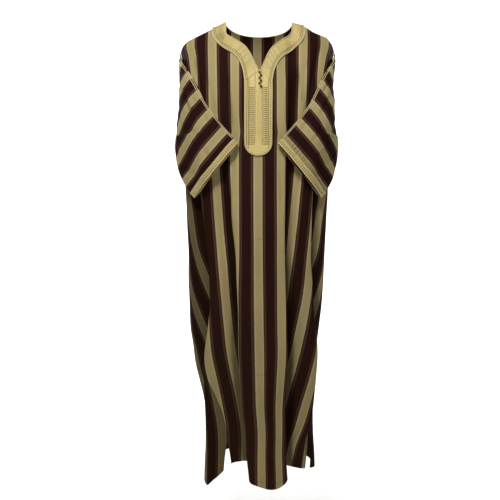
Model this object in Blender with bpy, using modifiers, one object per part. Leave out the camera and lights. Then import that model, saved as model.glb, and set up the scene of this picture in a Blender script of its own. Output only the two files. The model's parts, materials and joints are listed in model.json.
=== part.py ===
# Striped djellaba, filled out as worn and hollow: front, back, two sleeves, neck band, bib, cuffs and cords.
# Metres, +Z up, front towards -Y, origin in the middle of the neck opening at the top of the shoulders.
import math

import bpy
import numpy as np

WALL = 0.0012            # thickness of the striped cloth
BRAID = 0.0018           # thickness of the braided neck band, bib and cuff bands
SEAM = 0.0008            # gap left between two pieces that are sewn together
LIFT = 0.0004            # gap under a piece that lies on another
PERIOD = 0.0667          # width of one repeat of the stripes
ROUND = 18 * PERIOD      # cloth all round the body
UNDERARM = -0.345        # height where the armholes end
ARMHOLE_X = 0.235        # half the width of the body at the armholes
SIDE_S = 0.29            # cloth from the centre front to the side seam at the underarm
SQUARE = 2.3             # power of the rounded section of the body
DEPTH_BACK = 0.87        # depth of the back half of the section over that of the front half
ARMHOLE_OPEN = 0.050     # how far each edge of an armhole stands from the middle of the side
NECK_BACK_DROP = 0.030   # how far the back of the neck dips below the shoulders

# Body by height: left and right edge of the outline, centre stripe, the two side seams in cloth, depth of the front
BODY = [
    # z, left, right, centre, seam_left, seam_right, depth
    (-0.345, -0.2350, 0.2350, 0.000, -0.290, 0.290, 0.136),
    (-0.450, -0.2220, 0.2180, 0.000, -0.245, 0.305, 0.138),
    (-0.530, -0.2130, 0.2085, 0.000, -0.212, 0.318, 0.137),
    (-0.680, -0.2070, 0.2013, 0.001, -0.195, 0.335, 0.130),
    (-0.780, -0.2070, 0.1970, 0.002, -0.200, 0.342, 0.128),
    (-0.860, -0.2030, 0.1920, 0.003, -0.210, 0.346, 0.130),
    (-0.950, -0.1970, 0.1820, 0.005, -0.230, 0.347, 0.134),
    (-1.020, -0.1880, 0.1770, 0.006, -0.222, 0.347, 0.138),
    (-1.080, -0.1720, 0.1730, 0.007, -0.208, 0.347, 0.143),
    (-1.150, -0.1560, 0.1680, 0.008, -0.202, 0.347, 0.150),
    (-1.220, -0.1540, 0.1680, 0.009, -0.201, 0.347, 0.155),
    (-1.300, -0.1565, 0.1720, 0.010, -0.200, 0.347, 0.157),
    (-1.390, -0.1580, 0.1740, 0.011, -0.200, 0.347, 0.158),
]
# Folds: at each height below, the cloth place of the outer edge, then the cloth that is turned under it
FOLD_Z = (-0.345, -0.53, -0.68, -0.82, -0.97, -1.11, -1.25, -1.37)
FOLDS = [
    # name, side, angle in, angle out, share that comes back, edges, hidden
    ("inner_left", -1, 104, 35, 0.80,
     (-0.075, -0.070, -0.060, -0.048, -0.042, -0.038, -0.030, -0.016),
     (0.000, 0.002, 0.020, 0.042, 0.062, 0.080, 0.084, 0.084)),
    ("inner_right", 1, 116, 45, 0.80,
     (0.072, 0.072, 0.072, 0.073, 0.074, 0.075, 0.076, 0.076),
     (0.000, 0.012, 0.032, 0.058, 0.094, 0.118, 0.148, 0.168)),
    ("outer_left", -1, 138, 30, 0.95,
     (-0.184, -0.180, -0.172, -0.168, -0.196, -0.230, -0.262, -0.272),
     (0.000, 0.020, 0.042, 0.085, 0.120, 0.100, 0.070, 0.050)),
    ("outer_right", 1, 138, 30, 0.95,
     (0.180, 0.184, 0.196, 0.216, 0.262, 0.290, 0.300, 0.310),
     (0.000, 0.036, 0.045, 0.075, 0.080, 0.040, 0.010, 0.000)),
]
# Soft folds of the back: how they share the cloth that is left over there
BACK_FOLDS = [
    ("back_left", -1, 48, 40, 1.00,
     (-0.400, -0.400, -0.405, -0.415, -0.425, -0.430, -0.435, -0.440),
     (0.010, 0.014, 0.018, 0.020, 0.020, 0.020, 0.022, 0.024)),
    ("back_middle", 1, 52, 40, 1.00,
     (-0.560, -0.560, -0.555, -0.550, -0.548, -0.545, -0.540, -0.535),
     (0.020, 0.024, 0.026, 0.026, 0.026, 0.028, 0.030, 0.030)),
    ("back_right", 1, 48, 40, 1.00,
     (0.400, 0.405, 0.410, 0.420, 0.430, 0.435, 0.440, 0.440),
     (0.010, 0.014, 0.018, 0.020, 0.020, 0.022, 0.024, 0.026)),
]
FOLD_SHORTEST = 0.036    # shortest length of cloth that turns in at a fold
UPPER_ROWS = 12          # rows of faces on a panel above the underarm
LOWER_ROWS = 18          # and below it
THREADS = 0.0095         # least distance between the columns of a panel's faces
EDGE = 0.005             # width of the faces beside a side seam
RING = 30                # points round a sleeve
# Height of the hem by place in the cloth, in stripe repeats from the centre front
HEM = [
    # repeats, z
    (-9.0, -1.312), (-7.0, -1.330), (-5.6, -1.368), (-4.6, -1.374), (-4.0, -1.360), (-3.3, -1.326),
    (-2.7, -1.322), (-1.2, -1.325), (-0.6, -1.338), (0.0, -1.350), (0.6, -1.356), (1.1, -1.350),
    (1.6, -1.332), (2.4, -1.326), (4.2, -1.328), (5.3, -1.336), (6.0, -1.334), (7.5, -1.318), (9.0, -1.312),
]
SLITS = [
    # name, z of the top, width at the hem
    ("left", -1.268, 0.022),
    ("right", -1.212, 0.016),
]
# Shoulder line seen from the front
SLIM_FROM = 0.150           # where the drawing in starts, and where it is as the table says
SLIM_TO = 0.257
SLIM = [
    # z, drawn in on the left, on the right
    (0.000, 0.000, 0.000), (-0.080, 0.003, 0.003), (-0.108, 0.013, 0.014), (-0.168, 0.021, 0.028),
    (-0.228, 0.024, 0.032), (-0.318, 0.018, 0.025), (-0.378, 0.012, 0.017), (-0.438, 0.009, 0.016),
    (-0.500, 0.002, 0.003), (-0.530, 0.000, 0.000),
]
RIDGE = [
    # x, z
    (-0.2350, -0.088), (-0.2235, -0.066), (-0.2106, -0.0535), (-0.1830, -0.041), (-0.1335, -0.0165),
    (-0.0915, 0.003), (0.1000, 0.001), (0.1395, -0.009), (0.1656, -0.026), (0.2085, -0.0424),
    (0.2235, -0.062), (0.2350, -0.090),
]
# Neck opening and braided band: matching places on the opening's edge and on the band's outer edge
BAND_LEFT = [
    # in_x, in_z, out_x, out_z
    (-0.0915, 0.002, -0.1330, -0.0170), (-0.0915, -0.024, -0.1333, -0.0420), (-0.0890, -0.050, -0.1240, -0.0690),
    (-0.0660, -0.0665, -0.0960, -0.0935), (-0.0400, -0.084, -0.0700, -0.1130), (-0.0250, -0.103, -0.0530, -0.1340),
    (-0.0125, -0.129, -0.0430, -0.1620), (0.0040, -0.163, -0.0385, -0.1960),
]
BAND_RIGHT = [
    (0.1000, 0.000, 0.1375, -0.0090), (0.1000, -0.022, 0.1385, -0.0400), (0.0950, -0.046, 0.1270, -0.0740),
    (0.0700, -0.068, 0.0960, -0.1020), (0.0450, -0.087, 0.0690, -0.1240), (0.0310, -0.106, 0.0540, -0.1460),
    (0.0190, -0.133, 0.0455, -0.1700), (0.0060, -0.163, 0.0420, -0.1960),
]
NECK = (-0.0945, 0.1030)  # ends of the neck opening of the back on the shoulder line
NECK_FRONT = (-0.1140, 0.1200)  # and of the front, under the band
BIB_X = 0.0010           # middle of the bib
BIB_HALF = 0.0400        # half its width
BIB_END = -0.3720        # where its rounded end begins
BIB_ROUND = 0.0380       # depth of the rounded end
BUTTONS = (-0.1700, -0.1782, -0.1864, -0.1946, -0.2028, -0.2110)
BUTTON_R = 0.0036
BUTTON_X = 0.0070
# Left sleeve from the armhole to the cuff: its upper and lower fold, and how far its two sides bulge from the line
SLEEVE = [
    # along, top x y z, bottom x y z, outer dx dy, inner dx dy
    (0.00, -0.2367, 0.000, -0.0880, -0.2367, 0.000, -0.3420, 0.0000, 0.050, 0.000, -0.050),
    (0.08, -0.2400, -0.006, -0.0970, -0.2400, 0.000, -0.3490, -0.0050, 0.036, 0.000, -0.049),
    (0.20, -0.2395, -0.036, -0.1150, -0.2410, -0.010, -0.3680, -0.0130, 0.020, 0.001, -0.030),
    (0.30, -0.2310, -0.064, -0.1360, -0.2420, -0.020, -0.3880, -0.0180, 0.000, 0.004, -0.014),
    (0.40, -0.2140, -0.084, -0.1620, -0.2410, -0.030, -0.4060, -0.0190, -0.016, 0.008, -0.014),
    (0.52, -0.1880, -0.100, -0.2030, -0.2390, -0.042, -0.4300, -0.0145, -0.028, 0.012, -0.014),
    (0.68, -0.1470, -0.118, -0.2650, -0.2270, -0.056, -0.4640, -0.0080, -0.033, 0.007, -0.011),
    (0.84, -0.1020, -0.136, -0.3240, -0.2070, -0.070, -0.4970, -0.0035, -0.035, 0.003, -0.009),
    (1.00, -0.0560, -0.149, -0.3770, -0.1820, -0.084, -0.5250, -0.0020, -0.032, 0.000, -0.008),
]
SLEEVE_CLEAR = 0.010     # least distance between a sleeve and the front under it
SLEEVE_ROWS = 15         # rings of points along a sleeve
CUFF = 0.018             # width of a cuff band
CUFF_TOP = 0.446         # length of the last part of a sleeve per share along it, at the upper fold
CUFF_LOW = 0.250         # and at the lower fold
CORD_R = 0.0013          # radius of a cord


def clear_scene():
    for thing in list(bpy.data.objects):
        bpy.data.objects.remove(thing, do_unlink=True)


def material(name, colour, roughness):
    mat = bpy.data.materials.new(name)
    mat.use_nodes = True
    shader = mat.node_tree.nodes["Principled BSDF"]
    shader.inputs["Base Color"].default_value = (*colour, 1.0)
    shader.inputs["Roughness"].default_value = roughness
    shader.inputs["Metallic"].default_value = 0.0
    return mat


def smooth(x):
    """Soft step from 0 to 1."""
    x = np.clip(x, 0.0, 1.0)
    return x * x * (3.0 - 2.0 * x)


def plateau(x):
    """0 outside 0..1, 1 in the middle, with soft shoulders."""
    return smooth(x / 0.3) * smooth((1.0 - x) / 0.3)


def table(rows, column, key):
    """Column of a table read at the places in key, which is the table's first column."""
    rows = np.array(rows, float)
    order = np.argsort(rows[:, 0])
    return np.interp(key, rows[order, 0], rows[order, column])


def spline(rows, key):
    """All columns of a table at the places in key, on a smooth curve through the rows."""
    rows = np.array(rows, float)
    x, y = rows[:, 0], rows[:, 1:]
    slope = np.gradient(y, x, axis=0)
    key = np.asarray(key, float)
    i = np.clip(np.searchsorted(x, key) - 1, 0, len(x) - 2)
    h = (x[i + 1] - x[i])[..., None]
    t = np.clip((key - x[i]) / (x[i + 1] - x[i]), 0, 1)[..., None]
    return ((2 * t**3 - 3 * t**2 + 1) * y[i] + (t**3 - 2 * t**2 + t) * h * slope[i]
            + (3 * t**2 - 2 * t**3) * y[i + 1] + (t**3 - t**2) * h * slope[i + 1])


PLATEAU_MEAN = float(plateau(np.linspace(0, 1, 400)).mean())


def taken(angle, angle_out, share):
    """Cloth that a fold takes up for each metre that turns in, for small to full angles."""
    a, b = np.radians(angle), np.radians(np.minimum(angle_out, angle))
    back = share * np.sin(a) / np.maximum(np.sin(b), 1e-3)
    return 0.86 * PLATEAU_MEAN * ((1 - np.cos(a)) + back * (1 - np.cos(b)))


def fold_heading(folds, s, z, more=1.0):
    """Angle in radians by which the cloth at s turns in from the rounded section, at height z."""
    heading = np.zeros_like(s)
    for _name, side, angle, angle_out, share, edges, hidden in folds:
        height = -np.array(FOLD_Z)
        edge = np.interp(-z, height, edges)
        h = np.interp(-z, height, hidden) * more
        if h < 1e-4:
            continue
        angles = np.linspace(2, angle, 60)
        amounts = taken(angles, angle_out, share)
        a = np.interp(h / FOLD_SHORTEST, amounts, angles)
        length = max(FOLD_SHORTEST, h / amounts[-1])
        b = min(angle_out, a)
        back = share * length * math.sin(math.radians(a)) / math.sin(math.radians(b))
        along = (s - edge) * side
        along = np.where(along < -ROUND / 2, along + ROUND, along)
        along = np.where(along > ROUND / 2, along - ROUND, along)
        heading += side * math.radians(a) * plateau(along / length)
        heading -= side * math.radians(b) * plateau((along - length) / back)
    return heading


def oval(left, right, deep, places=721):
    """Rounded section from the middle of the front, to the right, round the back: points and distance along."""
    turn = np.linspace(-math.pi / 2, 1.5 * math.pi, places)
    c, s = np.cos(turn), np.sin(turn)
    half, mid = (right - left) / 2, (right + left) / 2
    x = mid + half * np.sign(c) * np.abs(c) ** (2 / SQUARE)
    y = deep * np.where(s < 0, 1.0, DEPTH_BACK) * np.sign(s) * np.abs(s) ** (2 / SQUARE)
    along = np.concatenate([[0], np.cumsum(np.hypot(np.diff(x), np.diff(y)))])
    return x, y, along


SAMPLES = np.linspace(-ROUND / 2, ROUND / 2, 601)


def folded(z, left, right, centre, deep, more):
    """Cloth that follows an oval and turns in at its folds: its points, and how much longer than the oval it is."""
    step = SAMPLES[1] - SAMPLES[0]
    x, y, along = oval(left, right, deep)
    start = np.interp(centre, x[: len(x) // 4], along[: len(x) // 4])
    tx, ty = np.gradient(x), np.gradient(y)
    size = np.maximum(np.hypot(tx, ty), 1e-9)
    tx, ty = tx / size, ty / size
    bend = np.abs(tx * np.gradient(ty) - ty * np.gradient(tx)) / size
    bend = np.convolve(np.concatenate([bend[-20:], bend, bend[:20]]), np.ones(41) / 41, "valid")
    heading = fold_heading(FOLDS, SAMPLES, z) + fold_heading(BACK_FOLDS, SAMPLES, z, more)
    inward = np.concatenate([[0], np.cumsum(np.sin((heading[1:] + heading[:-1]) / 2)) * step])
    inward -= np.interp(0.0, SAMPLES, inward)
    behind = smooth((np.abs(SAMPLES) - 0.33) / 0.25)
    inward = inward - behind * np.where(SAMPLES < 0, inward[0], inward[-1])
    sigma = np.cumsum(np.cos(heading)) * step
    for _again in range(3):
        sigma = sigma - np.interp(0.0, SAMPLES, sigma)
        where = (sigma + start) % along[-1]
        shrink = np.clip(1 - np.interp(where, along, bend) * inward, 0.6, 1.3)
        sigma = np.cumsum(np.cos(heading) / shrink) * step
    total = sigma[-1] - sigma[0]
    sigma = (sigma - np.interp(0.0, SAMPLES, sigma)) * along[-1] / total
    where = (sigma + start) % along[-1]
    px, py = np.interp(where, along, x), np.interp(where, along, y)
    nx, ny = -np.interp(where, along, ty), np.interp(where, along, tx)
    size = np.hypot(nx, ny)
    return px + inward * nx / size, py + inward * ny / size, total - along[-1]


def section(z):
    """Points of the body's section at height z for each place in SAMPLES. The oval is widened until the folded
    cloth has the outline's edges, and the back takes up cloth until its length is right."""
    left, right, centre, deep = (float(table(BODY, k, z)) for k in (1, 2, 3, 6))
    wide_left, wide_right = left, right
    more = 0.0
    for _ in range(5):
        px, py, spare = folded(z, wide_left, wide_right, centre, deep, more)
        wide_left -= 0.8 * (px.min() - left)
        wide_right -= 0.8 * (px.max() - right)
        more = 0.0
        while folded(z, wide_left, wide_right, centre, deep, more)[2] > 0 and more < 3.5:
            more += 0.1
    px, py, spare = folded(z, wide_left, wide_right, centre, deep, more)
    px = left + (px - px.min()) * (right - left) / (px.max() - px.min())
    return px, py, more - spare


LEVELS = np.linspace(UNDERARM, -1.39, 48)
SECTIONS = [section(z) for z in LEVELS]
BODY_X = np.array([a[0] for a in SECTIONS])
BODY_Y = np.array([a[1] for a in SECTIONS])
ACROSS = np.linspace(-0.24, 0.24, 121)
FOREMOST = np.array([[min(y[np.abs(x - at) < 0.012], default=0.0) for at in ACROSS]
                     for x, y in zip(BODY_X[:16], BODY_Y[:16])])
FOREMOST = np.array([np.convolve(np.pad(row, 7, "edge"), np.ones(15) / 15, "valid") for row in FOREMOST])


def body_point(s, z):
    """Point of the body cloth below the underarm, for cloth place s and height z."""
    s = (np.asarray(s) + ROUND / 2) % ROUND - ROUND / 2
    col = (s + ROUND / 2) / (SAMPLES[1] - SAMPLES[0])
    row = (UNDERARM - np.asarray(z)) / (LEVELS[0] - LEVELS[1])
    i = np.clip(row.astype(int), 0, len(LEVELS) - 2)
    j = np.clip(col.astype(int), 0, len(SAMPLES) - 2)
    u, v = row - i, col - j

    def mix(grid):
        return ((1 - u) * ((1 - v) * grid[i, j] + v * grid[i, j + 1])
                + u * ((1 - v) * grid[i + 1, j] + v * grid[i + 1, j + 1]))

    return np.stack([mix(BODY_X), mix(BODY_Y), np.asarray(z, float)], axis=-1)


def ridge(x):
    return table(RIDGE, 1, x)


def rise(down):
    """Depth of the cloth below the shoulder line, from 0 on the line to 1 at the underarm."""
    near = np.clip(down / 0.24, 0, 1)
    return 0.52 * np.sqrt(1 - (1 - near) ** 2) + 0.48 * np.sin(np.clip(down, 0, 1) * math.pi / 2)


def upper_y(x, z, side):
    """Depth of the front (side -1) or back (side 1) above the underarm, at x and z."""
    top = ridge(x)
    down = np.clip((top - z) / (top - UNDERARM), 0, 1)
    keep = (np.abs(SAMPLES) < SIDE_S) if side < 0 else (np.abs(SAMPLES) > SIDE_S)
    order = np.argsort(BODY_X[0][keep])
    flat = np.interp(x, BODY_X[0][keep][order], BODY_Y[0][keep][order])
    flat = side * np.maximum(side * flat, 0.0)
    at = np.clip((-0.088 - z) / (-0.088 - UNDERARM), 0, 1)
    apart = ARMHOLE_OPEN * np.sin(math.pi * at) * smooth((np.abs(x) - 0.12) / 0.115)
    return flat * rise(down) * (1 - 0.25 * smooth((np.abs(x) - 0.12) / 0.115) * np.sin(math.pi * at)) + side * apart


def front_y(x, z):
    """Depth of the front's cloth over the chest and the top of the skirt, where it has no deep folds."""
    x, z = np.broadcast_arrays(np.asarray(x, float), np.asarray(z, float))
    above = upper_y(x, np.maximum(z, UNDERARM), -1)
    row = np.clip((UNDERARM - z) / (LEVELS[0] - LEVELS[1]), 0, len(LEVELS) - 2)
    low = np.zeros_like(above)
    for k in range(int(row.max()) + 2):
        low += np.interp(x, ACROSS, FOREMOST[k]) * np.clip(1 - np.abs(row - k), 0, 1)
    return np.where(z >= UNDERARM, above, low)


def normals(grid):
    """Unit normals of a grid of points."""
    n = np.cross(np.gradient(grid, axis=1), np.gradient(grid, axis=0))
    return n / np.maximum(np.linalg.norm(n, axis=-1, keepdims=True), 1e-12)


def sheet(name, grid, thickness, mat, closed=False):
    """Cloth piece: a grid of points made an open surface, given its wall by Solidify, half to each side."""
    rows, cols = grid.shape[:2]
    index = np.arange(rows * cols).reshape(rows, cols)
    if closed:
        index = np.concatenate([index, index[:, :1]], axis=1)
    faces = np.stack([index[:-1, :-1], index[:-1, 1:], index[1:, 1:], index[1:, :-1]], axis=-1).reshape(-1, 4)
    mesh = bpy.data.meshes.new(name)
    mesh.from_pydata(grid.reshape(-1, 3).tolist(), [], faces.tolist())
    mesh.materials.append(mat)
    thing = bpy.data.objects.new(name, mesh)
    COLLECTION.objects.link(thing)
    wall = thing.modifiers.new("wall", "SOLIDIFY")
    wall.thickness = thickness
    wall.offset = 0.0
    wall.use_even_offset = False
    mesh.shade_smooth()
    return thing


def cord(name, points, radius, mat, closed=False):
    """Round cord along points."""
    curve = bpy.data.curves.new(name, "CURVE")
    curve.dimensions = "3D"
    curve.bevel_depth = radius
    curve.bevel_resolution = 1
    curve.use_fill_caps = True
    line = curve.splines.new("POLY")
    line.points.add(len(points) - 1)
    for spot, place in zip(line.points, points):
        spot.co = (*[float(c) for c in place], 1.0)
    line.use_cyclic_u = closed
    curve.materials.append(mat)
    thing = bpy.data.objects.new(name, curve)
    COLLECTION.objects.link(thing)
    return thing


def panel_columns(left, right, fixed):
    """Cloth places of a panel's columns: even, with more of them at the folds, and the fixed ones."""
    base = np.linspace(left, right, 25)
    extra = []
    for _name, side, _a, _b, _c, edges, hidden in FOLDS + BACK_FOLDS:
        far = side * (max(hidden) * 1.5 + 0.02)
        lo, hi = sorted((min(edges) - 0.012 * side, max(edges) + far))
        extra += list(np.linspace(lo, hi, 12))
    firm = [left, left + EDGE, right - EDGE, right] + list(fixed)
    keep = []
    for e in np.sort(np.concatenate([base, extra])):
        if min(abs(e - f) for f in firm) > THREADS * 0.7 and left < e < right:
            if not keep or e - keep[-1] > THREADS:
                keep.append(e)
    return np.sort(np.array(keep + firm))


def half_gap(name, z):
    """Half the gap at a side seam: a thin line that opens as a slit near the hem."""
    for slit, top, wide in SLITS:
        if slit == name:
            return SEAM / 2 + 0.5 * wide * smooth((top - z) / (top + 1.335)) * (z < top)
    return SEAM / 2


def build_front():
    wide = ARMHOLE_X - 0.0008
    corners = [NECK_FRONT[0], BAND_LEFT[2][0], BAND_RIGHT[2][0], NECK_FRONT[1]]
    corners += [(corners[0] + corners[1]) / 2, (corners[2] + corners[3]) / 2]
    corners = [x * SIDE_S / wide for x in corners]
    q = panel_columns(-SIDE_S, SIDE_S, corners) / SIDE_S
    chest_x = np.interp(q * (SIDE_S - SEAM), SAMPLES, BODY_X[0])
    # Above the underarm
    rows = np.linspace(0, 1, UPPER_ROWS) ** 1.9
    x_top = q * (ARMHOLE_X - 0.0008)
    opening = np.array([(NECK_FRONT[0], ridge(NECK_FRONT[0]))] + [r[:2] for r in BAND_LEFT[2:]]
                       + [r[:2] for r in BAND_RIGHT[:1:-1]] + [(NECK_FRONT[1], ridge(NECK_FRONT[1]))])
    inside = (x_top > opening[0, 0]) & (x_top < opening[-1, 0])
    top = np.where(inside, np.interp(x_top, opening[:, 0], opening[:, 1]), ridge(x_top))
    z = top[None, :] + (UNDERARM - top[None, :]) * rows[:, None]
    x = x_top[None, :] + (chest_x - x_top)[None, :] * smooth(rows)[:, None]
    y = upper_y(x, z, -1) - SEAM
    upper = np.stack([x, y, z], axis=-1)
    # Below it
    w = np.interp(np.linspace(0, 1, LOWER_ROWS), (0, 0.42, 0.75, 1), (0, 0.52, 0.80, 1))[1:]
    lower = []
    for part in w:
        zz = np.full(len(q), -0.9)
        for _ in range(4):
            s = seam_place(q, zz)
            zz = UNDERARM + part * (hem(s) - UNDERARM)
        lower.append(body_point(seam_place(q, zz), zz))
    grid = np.concatenate([upper, np.array(lower)])
    return sheet("front_panel", slim(grid), WALL, STRIPES)


def hem(s):
    s = (np.asarray(s) + ROUND / 2) % ROUND - ROUND / 2
    return np.interp(s / PERIOD, [r[0] for r in HEM], [r[1] for r in HEM])


def seam_place(q, z):
    """Cloth place of a front panel's thread q (-1 to 1) at height z."""
    left = table(BODY, 4, z) + half_gap("left", z)
    right = table(BODY, 5, z) - half_gap("right", z)
    return left + (right - left) * (q + 1) / 2


def back_place(q, z):
    """Cloth place of a back panel's thread: q = -1 at the right seam, 1 at the left seam."""
    right = table(BODY, 5, z) + half_gap("right", z)
    left = table(BODY, 4, z) - half_gap("left", z) + ROUND
    return right + (left - right) * (q + 1) / 2


def build_back():
    columns = panel_columns(SIDE_S, ROUND - SIDE_S, [])
    q = 2 * (columns - SIDE_S) / (ROUND - 2 * SIDE_S) - 1
    s_chest = SIDE_S + (ROUND - 2 * SIDE_S) * (q + 1) / 2
    s_chest = np.clip(s_chest, SIDE_S + SEAM, ROUND - SIDE_S - SEAM)
    chest = body_point(s_chest, np.full(len(q), UNDERARM))
    rows = np.linspace(0, 1, UPPER_ROWS) ** 1.9
    x_top = -q * (ARMHOLE_X - 0.0008)
    top = ridge(x_top)
    middle, half = (NECK[0] + NECK[1]) / 2, (NECK[1] - NECK[0]) / 2
    dip = NECK_BACK_DROP * np.clip(1 - ((x_top - middle) / half) ** 2, 0, 1) ** 0.5
    top = top - dip
    z = top[None, :] + (UNDERARM - top[None, :]) * rows[:, None]
    blend = smooth((rows - 0.2) / 0.8)[:, None]
    x = x_top[None, :] + (chest[:, 0] - x_top)[None, :] * blend
    y = upper_y(x, z, 1)
    ripple = chest[:, 1] - upper_y(chest[:, 0], np.full(len(q), UNDERARM), 1)
    y = y + ripple[None, :] * blend + SEAM
    upper = np.stack([x, y, z], axis=-1)
    upper[-1] = chest
    w = np.interp(np.linspace(0, 1, LOWER_ROWS), (0, 0.42, 0.75, 1), (0, 0.52, 0.80, 1))[1:]
    lower = []
    for part in w:
        zz = np.full(len(q), -0.9)
        for _ in range(4):
            s = back_place(q, zz)
            zz = UNDERARM + part * (hem(s) - UNDERARM)
        lower.append(body_point(back_place(q, zz), zz))
    grid = np.concatenate([upper, np.array(lower)])
    return sheet("back_panel", slim(grid), WALL, STRIPES)


def sleeve_ring(share, places):
    """Rings of the left sleeve from the armhole (share 0) to the top of the cuff band (share 1) and the sleeve's end
    (share 2). Each ring runs down the outer side from the upper fold and back up the inner side."""
    turn = np.linspace(0, 2, places, endpoint=False)[None, :]
    down = np.where(turn < 1, turn, 2 - turn)
    down = 0.6 * down + 0.2 * (1 - np.cos(math.pi * down))
    cuff = CUFF / (CUFF_TOP + (CUFF_LOW - CUFF_TOP) * down)
    share = np.asarray(share, float)[:, None]
    along = np.minimum(share, 1) * (1 - cuff) + np.maximum(share - 1, 0) * cuff
    rows = spline(SLEEVE, along)
    top, bottom, outer, inner = rows[..., 0:3], rows[..., 3:6], rows[..., 6:8], rows[..., 8:10]
    power = 1 - 0.42 * smooth(along / 0.3)
    swell = np.sin(math.pi * down) ** power
    wide = np.sin(math.pi * down) ** (power * power * power)
    point = top + (bottom - top) * down[..., None]
    point[..., 0] += inner[..., 0] * wide
    point[..., 1] += inner[..., 1] * swell
    limit = front_y(point[..., 0], point[..., 2]) - SLEEVE_CLEAR
    over = smooth((0.2400 + point[..., 0]) / 0.003) * smooth((along - 0.02) / 0.05)
    point[..., 1] = point[..., 1] * (1 - over) + np.minimum(point[..., 1], limit) * over
    point[..., 0] += np.where(turn < 1, (outer - inner)[..., 0] * wide, 0.0)
    point[..., 1] += np.where(turn < 1, (outer - inner)[..., 1] * swell, 0.0)
    return point


SLEEVE_SHARES = np.append(np.linspace(0, 1, SLEEVE_ROWS - 1), 2)


def ring_normals(ring):
    """Normals of a closed tube's rings, pointing out of it and longer at its folds, so that an offset keeps clear."""
    padded = np.concatenate([ring[:, -1:], ring, ring[:, :1]], axis=1)
    out = normals(padded)[:, 1:-1]
    quarter = ring.shape[1] // 4
    out = out * np.sign(out[-1, quarter] @ (ring[-1, quarter] - ring[-1, -quarter]))
    run = padded[:, 1:] - padded[:, :-1]
    run /= np.maximum(np.linalg.norm(run, axis=-1, keepdims=True), 1e-12)
    before, after = run[:, :-1], run[:, 1:]
    turned = np.sqrt((1 + (before * after).sum(-1, keepdims=True)) / 2)
    corner = before - after
    corner /= np.maximum(np.linalg.norm(corner, axis=-1, keepdims=True), 1e-12)
    return np.where(turned < 0.8, corner, out) / np.maximum(turned, 0.3)


def mirrored(grid):
    flipped = grid[:, ::-1].copy()
    flipped[..., 0] *= -1
    return flipped


def slim(points):
    """Points drawn in towards the middle at the shoulders and upper sleeves, more the farther out they lie."""
    far = np.clip((np.abs(points[..., 0]) - SLIM_FROM) / (SLIM_TO - SLIM_FROM), 0, None)
    inward = np.where(points[..., 0] < 0, table(SLIM, 1, points[..., 2]), table(SLIM, 2, points[..., 2]))
    drawn = points.copy()
    drawn[..., 0] -= np.sign(points[..., 0]) * far * inward
    return drawn


def build_sleeve(name, side):
    ring = sleeve_ring(SLEEVE_SHARES, RING)
    if side > 0:
        ring = mirrored(ring)
    return sheet("sleeve_" + name, slim(ring), WALL, STRIPES, closed=True)


def build_cuff(name, side):
    ring = sleeve_ring(SLEEVE_SHARES, RING)
    if side > 0:
        ring = mirrored(ring)
    ring = slim(ring)
    ring = (ring + ring_normals(ring) * (WALL / 2 + BRAID / 2 + 2 * LIFT))[-2:]
    return sheet("cuff_" + name, ring, BRAID, BRAIDED, closed=True)


def on_front(x, z, proud):
    """Points lying on the front, moved out from its outer face by proud."""
    x, z = np.asarray(x, float), np.asarray(z, float)
    d = 0.002
    y = front_y(x, z) - SEAM
    slope_x = (front_y(x + d, z) - front_y(x - d, z)) / (2 * d)
    slope_z = (front_y(x, z + d) - front_y(x, z - d)) / (2 * d)
    slope_z = np.clip(slope_z, -8, 8)
    size = np.sqrt(1 + slope_x**2 + slope_z**2)
    out = np.stack([slope_x, -np.ones_like(x), slope_z], axis=-1) / size[..., None]
    return np.stack([x, y, z], axis=-1) + out * (WALL / 2 + proud)


def build_band(name, rows):
    key = np.linspace(0, 1, len(rows))
    line = spline(np.column_stack([key, np.array(rows)]), np.linspace(0, 1, 22))
    across = np.linspace(0, 1, 5)[None, :]
    x = line[:, 0:1] * (1 - across) + line[:, 2:3] * across
    z = line[:, 1:2] * (1 - across) + line[:, 3:4] * across
    z = np.minimum(z, ridge(x) - 0.0022)
    grid = on_front(x, z, 2 * LIFT + BRAID / 2)
    grid[..., 1] = np.minimum(grid[..., 1], -0.0012)
    return sheet("neck_band_" + name, grid, BRAID, BRAIDED)


def build_back_band():
    middle, half = (NECK[0] + NECK[1]) / 2, (NECK[1] - NECK[0]) / 2 - 0.001
    turn = np.linspace(math.pi, 0, 26)
    across = np.linspace(0, 1, 6)[:, None]
    x = middle + (half * (1 - across) + (half + 0.0375) * across) * np.cos(turn)[None, :]
    inner = ridge(middle + half * np.cos(turn)) - NECK_BACK_DROP * np.sin(turn)
    outer = ridge(middle + (half + 0.0375) * np.cos(turn)) - (NECK_BACK_DROP + 0.036) * np.sin(turn)
    z = inner[None, :] * (1 - across) + outer[None, :] * across
    z = np.minimum(z, ridge(x) - 0.0022)
    d = 0.002
    y = upper_y(x, z, 1) + SEAM
    slope_x = (upper_y(x + d, z, 1) - upper_y(x - d, z, 1)) / (2 * d)
    slope_z = np.clip((upper_y(x, z + d, 1) - upper_y(x, z - d, 1)) / (2 * d), -8, 8)
    size = np.sqrt(1 + slope_x**2 + slope_z**2)
    out = np.stack([-slope_x, np.ones_like(x), -slope_z], axis=-1) / size[..., None]
    grid = np.stack([x, y, z], axis=-1) + out * (WALL / 2 + 5 * LIFT + BRAID / 2)
    grid[..., 1] = np.maximum(grid[..., 1], 0.0012)
    return sheet("neck_band_back", grid, BRAID, BRAIDED)


def build_bib():
    q = np.linspace(-1, 1, 13)
    top = -0.1666 - 0.0325 * np.abs(q)
    low = BIB_END - BIB_ROUND * np.sqrt(np.clip(1 - np.abs(q) ** 2.2, 0, 1))
    part = np.linspace(0, 1, 15)[:, None]
    z = top * (1 - part) + low * part
    x = BIB_X + 0.002 * (1 - part) + BIB_HALF * q[None, :] + 0 * part
    return sheet("bib", on_front(x, z, LIFT + BRAID / 2), BRAID, BRAIDED)


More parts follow.
